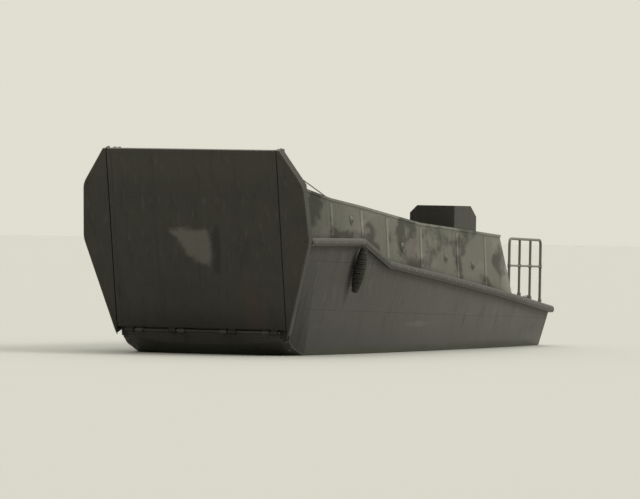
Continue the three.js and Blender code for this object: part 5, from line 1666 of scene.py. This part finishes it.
class CRAFT_OT_aft_deck(Operator):
    """Aft deck boards with the hatch's rim, and the two cockpit coamings with their stays"""

    bl_idname = "craft.aft_deck"
    bl_label = "Aft deck"

    def execute(self, context):
        low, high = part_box("lazarette_lid")
        lines = [
            [(x, y, sheer(y)) for y in (low.y + 0.03, high.y + 0.03)] for x in (low.x - 0.020, high.x + 0.020)
        ]
        lines.append([(x, high.y + 0.026, sheer(high.y)) for x in (low.x - 0.037, high.x + 0.037)])
        rim = [bar(*line, *HATCH_RIM, Z, PANEL_EDGE) for line in lines]
        dressed("aft_deck", plated("aft_deck", "deck", "edge", BOARD_EDGE), edge=rim)

        low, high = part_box("cockpit_coaming_port")
        centre = (low + high) / 2
        for node, side in sided("cockpit_coaming"):
            coaming = plated(node, "light_fitting", "edge", PANEL_EDGE)
            bead = ring((*centre.xy, high.z - 0.004), BEAD_RADIUS, BEAD_THICK, sides=64, section=10)
            stays = []
            for way in ways_round(STAYS, 0.5):
                foot = Vector((*centre.xy, 0)) + way * COAMING_FOOT_RADIUS
                foot.z = sheer(foot.y) + 0.001
                for (length, thick), along, out in ((STAY_UP, Z, way), (STAY_OUT, way, Z)):
                    stays.append(bar(foot, foot + along * length, STAY_WIDE, thick, out))
            dressed(node, coaming, side=side, fitting=[bead], light_fitting=stays)
        return {"FINISHED"}


POST_BOLT_HEIGHT = 0.3003
COLLAR = ((0.026, 0), (0.034, 0.004), (0.034, 0.014), (0.026, 0.018))
KNOB = ((0.024, 0), (0.032, 0.003), (0.032, 0.012), (0.020, 0.018))
CLEAT_FOOT = ((0.070, -0.004), (0.070, 0.012), (0.050, 0.022), (0.034, 0.040), (0.030, 0.060))
CLEAT_NARROW = 0.5
HALF_HORN = ((0.010, 0.168), (0.017, 0.155), (0.021, 0.10), (0.024, 0))
CLEAT_HORN = tuple((radius, -along) for radius, along in HALF_HORN[:-1]) + HALF_HORN[::-1]
HORN_HEIGHT = 0.070
CLEAT_BOLT, CLEAT_BOLTS_X, CLEAT_BOLTS_Y = 0.007, 0.018, 0.045
HATCH_LEAF, HATCH_BATTEN, POST_FOOT = (0.045, 0.005), (0.05, 0.008), (0.12, 0.010)
HATCH_HINGE_X, HATCH_BATTEN_X = 0.19, 0.265
POST_FOOT_OUT, POST_FOOT_LONG = 0.06555, 0.060


class CRAFT_OT_deck_fittings(Operator):
    """Locker hatch, cleats and towing post on the aft deck"""

    bl_idname = "craft.deck_fittings"
    bl_label = "Deck fittings"

    def execute(self, context):
        low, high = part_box("lazarette_lid")
        lid = plated("lazarette_lid", "crate", "edge", HATCH_EDGE, deck=looks_up)
        place = Matrix.Translation(pivot("lazarette_lid_hinge")) @ DECK_TURN
        top = (place.inverted() @ reach("lazarette_lid", (0.2, 4.5, 2), -Z)[0]).z
        metal = []
        for x in (-HATCH_HINGE_X, HATCH_HINGE_X):
            metal.append(peg(Vector((x, 0, 0.004)), X * 0.04, 0.008, 12))
            metal.append(bar((x, 0.006, top), (x, 0.17, top), *HATCH_LEAF, Z))
        metal.append(ring((0, 0.42, top + 0.008), 0.034, 0.006, (0, 0.1, 1), 20, 6))
        ends = (0.03, high.y - low.y - 0.02)
        lines = [[(x, y, top) for y in ends] for x in (-HATCH_BATTEN_X, HATCH_BATTEN_X)]
        battens = [bar(*line, *HATCH_BATTEN, Z) for line in lines]
        dressed("lazarette_lid", lid, place=place, steel=metal, crate=battens)

        low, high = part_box("towing_post")
        y = (low.y + high.y) / 2
        post = plated("towing_post", "fitting", "edge", HEAVY_EDGE)
        metal = [
            turned(outline, 20, about((way * out, y, sheer(y) + POST_BOLT_HEIGHT), X * way))
            for outline, out in ((COLLAR, 0.066), (KNOB, 0.171))
            for way in (1, -1)
        ]
        base = []
        for way in (X, -X, Y, -Y):
            foot = Vector((0, y, 0)) + way * POST_FOOT_OUT
            foot.z = sheer(foot.y) + 0.001
            toe = foot + (way + Z * (SHEER_SLOPE * way.y)) * POST_FOOT_LONG
            base.append(bar(foot, toe, *POST_FOOT, Z))
        dressed("towing_post", post, steel=metal, fitting=base)

        low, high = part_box("cleat_port")
        x, y = ((low + high) / 2).xy
        foot = Vector((x, y, sheer(y)))
        for node, side in sided("cleat"):
            stand = Matrix.Translation(foot) @ DECK_TURN @ Matrix.Scale(CLEAT_NARROW, 4, X)
            line = about(foot + Z * HORN_HEIGHT, Y)
            metal = [settled(turned(CLEAT_FOOT), stand), turned(CLEAT_HORN, 16, line, DOME_BEND)]
            aside = product((-CLEAT_BOLTS_X, CLEAT_BOLTS_X), (-CLEAT_BOLTS_Y, CLEAT_BOLTS_Y))
            places = [(x + out, y + along, sheer(y + along) + 0.010) for out, along in aside]
            bolts = heads([(place, Z) for place in places], CLEAT_BOLT)
            dressed(node, side=side, steel=metal, fitting=bolts)
        return {"FINISHED"}


RAIL_RADIUS, MIDDLE_RAIL_RADIUS = 0.019, 0.014
RAIL_POSTS = (3.90, 4.52)
RAIL_MIDDLE = 1.130
RAIL_FALL, RAIL_BEND, RAIL_INSET = 0.020, 0.09, 0.070
COLLAR_HALF, COLLAR_RADIUS, RAIL_BOLT, RAIL_BOLT_OUT = 0.025, 0.024, 0.0065, 0.038
RAIL_SOCKET = ((0.048, 0.001), (0.048, 0.010), (0.028, 0.014), (0.026, 0.060), (0.022, 0.064))


class CRAFT_OT_stern_rails(Operator):
    """Stern rails of bent pipe with their stanchions, sockets and bolted feet"""

    bl_idname = "craft.stern_rails"
    bl_label = "Stern rails"

    def execute(self, context):
        low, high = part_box("stern_rail_port")
        fore, aft = low.y + 0.048, high.y - 0.048
        stations = (fore, *RAIL_POSTS, aft)
        top = high.z - RAIL_RADIUS

        def at(y, height):
            return Vector((from_port("aft_deck", y, sheer(y) - 0.015)[0].x - RAIL_INSET, y, height))

        for node, side in sided("stern_rail"):
            feet = {y: at(y, sheer(y) + 0.004) for y in stations}
            path = [feet[fore], at(fore, top), at(aft, top - RAIL_FALL), feet[aft]]
            pipes = [tube(rounded_path(path, RAIL_BEND, 6), RAIL_RADIUS, 14)]
            pipes += [rod(feet[y], at(y, top - 0.012), RAIL_RADIUS * 0.92, sides=14) for y in RAIL_POSTS]
            ends = at(fore, RAIL_MIDDLE), at(aft, RAIL_MIDDLE - RAIL_FALL)
            pipes.append(rod(*ends, MIDDLE_RAIL_RADIUS, sides=12))
            bolts = []
            for y in stations:
                pipes.append(turned(RAIL_SOCKET, 24, Matrix.Translation(at(y, sheer(y))) @ DECK_TURN))
                middle = at(y, RAIL_MIDDLE - 0.01 * (y - fore))
                pipes.append(peg(middle, Z * COLLAR_HALF, COLLAR_RADIUS, 14))
                for way in ways_round(4, 0.5):
                    place = at(y, 0) + way * RAIL_BOLT_OUT
                    bolts.append(((*place.xy, sheer(place.y) + 0.009), Z))
            dressed(node, side=side, light_fitting=pipes, steel=heads(bolts, RAIL_BOLT))
        return {"FINISHED"}


BLADES = 3
SHAFT_RADIUS = 0.024
BLADE_HALF = (0.090, 0.0085, 0.108)
BLADE_MIDDLE = 0.138
BLADE_SWEEP = 0.012
BLADE_TWIST, BLADE_PITCH = math.radians(-26), math.radians(38)
PROPELLER_HUB = ((0.030, -0.075), (0.052, -0.070), (0.056, -0.02), (0.052, 0.045), (0.040, 0.056))


class CRAFT_OT_propeller(Operator):
    """Propeller with twisted blades, its nut and the shaft"""

    bl_idname = "craft.propeller"
    bl_label = "Propeller"

    def execute(self, context):
        low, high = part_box("propeller")
        blade = started("uv_sphere", segments=20, ring_count=12, radius=1, scale=BLADE_HALF)
        with editing(blade):
            pick(blade, lambda centre, normal: centre.z > 0.04)
            bpy.ops.transform.translate(value=(BLADE_SWEEP, 0, 0))
        blade = settled(blade, Matrix.Translation((0, 0, BLADE_MIDDLE)))
        modified(blade, "SIMPLE_DEFORM", deform_method="TWIST", deform_axis="Z", angle=BLADE_TWIST)
        blade = settled(shaded(blade, DOME_BEND), Matrix.Rotation(BLADE_PITCH, 4, "Z"))
        place = Matrix.Translation(PROPELLER_AT)
        turns = [Matrix.Rotation(math.tau * step / BLADES, 4, "Y") for step in range(BLADES)]
        blades = copied_to(blade, [place @ turn for turn in turns])
        aft = high.y - PROPELLER_AT.y
        nut = [(0.030, 0.056), (0.030, aft - 0.010), (0.016, aft)]
        line = about(PROPELLER_AT, Y)
        solid = [turned(PROPELLER_HUB, 28, line), turned(nut, 6, line)]
        ends = [(0, y, PROPELLER_AT.z) for y in (low.y + 0.002, PROPELLER_AT.y - 0.07)]
        dressed("propeller", bronze=[*blades, *solid], steel=[rod(*ends, SHAFT_RADIUS, sides=20)])
        return {"FINISHED"}


PINTLE_CUP = ((0.044, 0), (0.040, 0.012), (0.030, 0.014))
RUDDER_STRAP, RUDDER_STRAP_HEIGHTS = (0.045, 0.005), (-0.26, -0.50)


class CRAFT_OT_rudder(Operator):
    """Rudder, its stock and the shoe that carries its heel"""

    bl_idname = "craft.rudder"
    bl_label = "Rudder"

    def execute(self, context):
        stations = (RUDDER_AT.y + 0.03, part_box("rudder")[1].y - 0.10)
        straps = [
            bar(*(reach("rudder", (way, y, z), X * -way)[0] for y in stations), *RUDDER_STRAP, X * way)
            for z in RUDDER_STRAP_HEIGHTS
            for way in (1, -1)
        ]
        dressed("rudder", plated("rudder", "bottom", "bottom", WOOD_EDGE), bronze=straps)
        cup = turned(PINTLE_CUP, 20, about((0, RUDDER_AT.y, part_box("rudder_shoe")[0].z + 0.012), -Z))
        dressed("rudder_shoe", plated("rudder_shoe", "bottom", "bottom", WOOD_EDGE), bronze=[cup])
        return {"FINISHED"}


FENDER_END = 0.085
ROPE_OVERLAP = 1.08
ROPE_LEAN = 0.04
CORE_SHARE, CORE_ENDS = 0.6, (0.03, 0.5, 0.97)


def fender_axis(low, high):
    """Lower and upper ends of the fender's middle line, which leans with the hull's side."""
    middle_y = (low.y + high.y) / 2
    ends = []
    for height in (low.z + 0.10, high.z - 0.10):
        outer, inner = (find("rope_fender", middle_y, height)[0] for find in (from_port, from_middle))
        ends.append((outer + inner) / 2)
    run = (ends[1] - ends[0]).normalized()
    return ends[0] - run * FENDER_END, ends[1] + run * FENDER_END


class CRAFT_OT_fender(Operator):
    """The rope fender that hangs under the port guard, wound from many turns"""

    bl_idname = "craft.fender"
    bl_label = "Rope fender"

    def execute(self, context):
        low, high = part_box("rope_fender")
        foot, head = fender_axis(low, high)
        run = head - foot
        turns = context.scene.craft_sizes.rope_turns
        half = (high.y - low.y) / 2
        thick = run.length / turns / 2 * ROPE_OVERLAP
        pieces = []
        for step in range(turns):
            share = (step + 0.5) / turns
            swell = math.sin(math.pi * min(max(share, 0.02), 0.98)) ** 0.35
            lean = Y * (ROPE_LEAN * (-1) ** step)
            radius = max(0.018, half * swell - thick)
            pieces.append(ring(foot + run * share, radius, thick, run.normalized() + lean, 28, 10))
        pieces.append(tube([foot + run * share for share in CORE_ENDS], half * CORE_SHARE, 12))
        dressed("rope_fender", rope=pieces)
        return {"FINISHED"}


# The stage and the camera
CAMERA_AZIMUTH = math.radians(18.72)
CAMERA_AWAY = 79.04
CAMERA_HEIGHT = 1.714
CAMERA_YAW = math.radians(-0.109)
CAMERA_PITCH = math.radians(-0.290)
CAMERA_ROLL = math.radians(1.07)
VIEW_FOCAL = 1300
VIEW_WIDTH = 140
SENSOR = 36
FLOOR_RADIUS = 400
FLOOR_COLOUR = (0.45, 0.446, 0.402)
FLOOR_ROUGHNESS = 0.9
SKY_COLOUR = (0.93, 0.92, 0.80)
SKY_AHEAD_TO_ASTERN = (0.405, 0.80)
LAMP_AWAY = 30
VIEW_END = 2000

# Soft lamps: where each shines from, its strength and its width in degrees
LAMPS = {
    "key": ((0.80, 0.30, 0.75), 1.5, 25),
    "back": ((-0.35, 0.85, 0.80), 0.7, 45),
    "fill": ((-0.50, -0.75, 0.80), 0.35, 60),
    "top": ((0.05, 0.10, 1.00), 1.3, 60),
}


class CRAFT_OT_stage(Operator):
    """Pale floor at the waterline, soft studio light and the camera"""

    bl_idname = "craft.stage"
    bl_label = "Stage"

    def execute(self, context):
        ground = started("circle", vertices=96, radius=FLOOR_RADIUS, fill_type="NGON")
        ground.name = "stage_floor"
        pale = Finish("stage_pale", Specular_IOR_Level=0.1)
        pale.show(FLOOR_COLOUR, FLOOR_ROUGHNESS)
        coloured([ground], "stage_pale")

        world = bpy.data.worlds.new("studio")
        world.use_nodes = True
        nodes, links = world.node_tree.nodes, world.node_tree.links
        way = nodes.new("ShaderNodeSeparateXYZ")
        links.new(nodes.new("ShaderNodeTexCoord").outputs["Generated"], way.inputs[0])
        fade = nodes.new("ShaderNodeMapRange")
        fade.interpolation_type = "SMOOTHSTEP"
        for socket, value in zip(list(fade.inputs)[1:5], (-0.8, 0.8, *SKY_AHEAD_TO_ASTERN)):
            socket.default_value = value
        links.new(way.outputs["Y"], fade.inputs[0])
        links.new(fade.outputs[0], nodes["Background"].inputs["Strength"])
        nodes["Background"].inputs["Color"].default_value = (*SKY_COLOUR, 1)
        context.scene.world = world

        for name, (shines_from, strength, softness) in LAMPS.items():
            bpy.ops.object.light_add(type="SUN", location=Vector(shines_from) * LAMP_AWAY)
            lamp = context.object
            lamp.name = name
            lamp.rotation_euler = Vector(shines_from).to_track_quat("Z", "Y").to_euler()
            lamp.data.energy = strength
            lamp.data.angle = math.radians(softness)

        bpy.ops.object.camera_add()
        camera = context.object
        camera.name = "photograph_view"
        camera.data.lens = VIEW_FOCAL / VIEW_WIDTH * SENSOR
        camera.data.sensor_width = SENSOR
        camera.data.clip_end = VIEW_END
        away = Vector((math.sin(CAMERA_AZIMUTH), -math.cos(CAMERA_AZIMUTH), 0)) * CAMERA_AWAY
        camera.location = away + Z * CAMERA_HEIGHT
        heading = Matrix.Rotation(CAMERA_AZIMUTH - CAMERA_YAW, 4, "Z")
        pitch = Matrix.Rotation(math.pi / 2 + CAMERA_PITCH, 4, "X")
        roll = Matrix.Rotation(CAMERA_ROLL, 4, "Z")
        camera.rotation_euler = (heading @ pitch @ roll).to_euler()
        context.scene.camera = camera
        context.scene.view_settings.view_transform = "Standard"
        return {"FINISHED"}


OPERATORS = (
    CRAFT_OT_finishes,
    CRAFT_OT_stage,
    CRAFT_OT_hull_bottom,
    CRAFT_OT_hull_sides,
    CRAFT_OT_stern,
    CRAFT_OT_bow_cheeks,
    CRAFT_OT_bulwarks,
    CRAFT_OT_guards,
    CRAFT_OT_ramp,
    CRAFT_OT_ramp_hinge,
    CRAFT_OT_hoisting_eyes,
    CRAFT_OT_floors,
    CRAFT_OT_bulkhead,
    CRAFT_OT_coxswain_shield,
    CRAFT_OT_steering,
    CRAFT_OT_winch,
    CRAFT_OT_wires,
    CRAFT_OT_engine_box,
    CRAFT_OT_engine_lids,
    CRAFT_OT_engine,
    CRAFT_OT_aft_deck,
    CRAFT_OT_deck_fittings,
    CRAFT_OT_stern_rails,
    CRAFT_OT_propeller,
    CRAFT_OT_rudder,
    CRAFT_OT_fender,
)


class CRAFT_PT_panel(Panel):
    """Lists the craft's sizes, colours and pieces"""

    bl_idname = "CRAFT_PT_panel"
    bl_label = "Landing Craft"
    bl_space_type = "VIEW_3D"
    bl_region_type = "UI"
    bl_category = "Landing Craft"

    def draw(self, context):
        for group in (context.scene.craft_sizes, context.scene.craft_colours):
            box = self.layout.box()
            for name in group.bl_rna.properties.keys():
                if name not in ("rna_type", "name"):
                    box.prop(group, name)
        for operator in OPERATORS:
            self.layout.operator(operator.bl_idname)


CLASSES = (CraftSizes, CraftColours, *OPERATORS, CRAFT_PT_panel)


def register():
    for cls in CLASSES:
        bpy.utils.register_class(cls)
    bpy.types.Scene.craft_sizes = PointerProperty(type=CraftSizes)
    bpy.types.Scene.craft_colours = PointerProperty(type=CraftColours)


def unregister():
    del bpy.types.Scene.craft_colours
    del bpy.types.Scene.craft_sizes
    for cls in reversed(CLASSES):
        bpy.utils.unregister_class(cls)


def main():
    register()
    for operator in OPERATORS:
        group, name = operator.bl_idname.split(".")
        getattr(getattr(bpy.ops, group), name)()


if __name__ == "__main__":
    main()
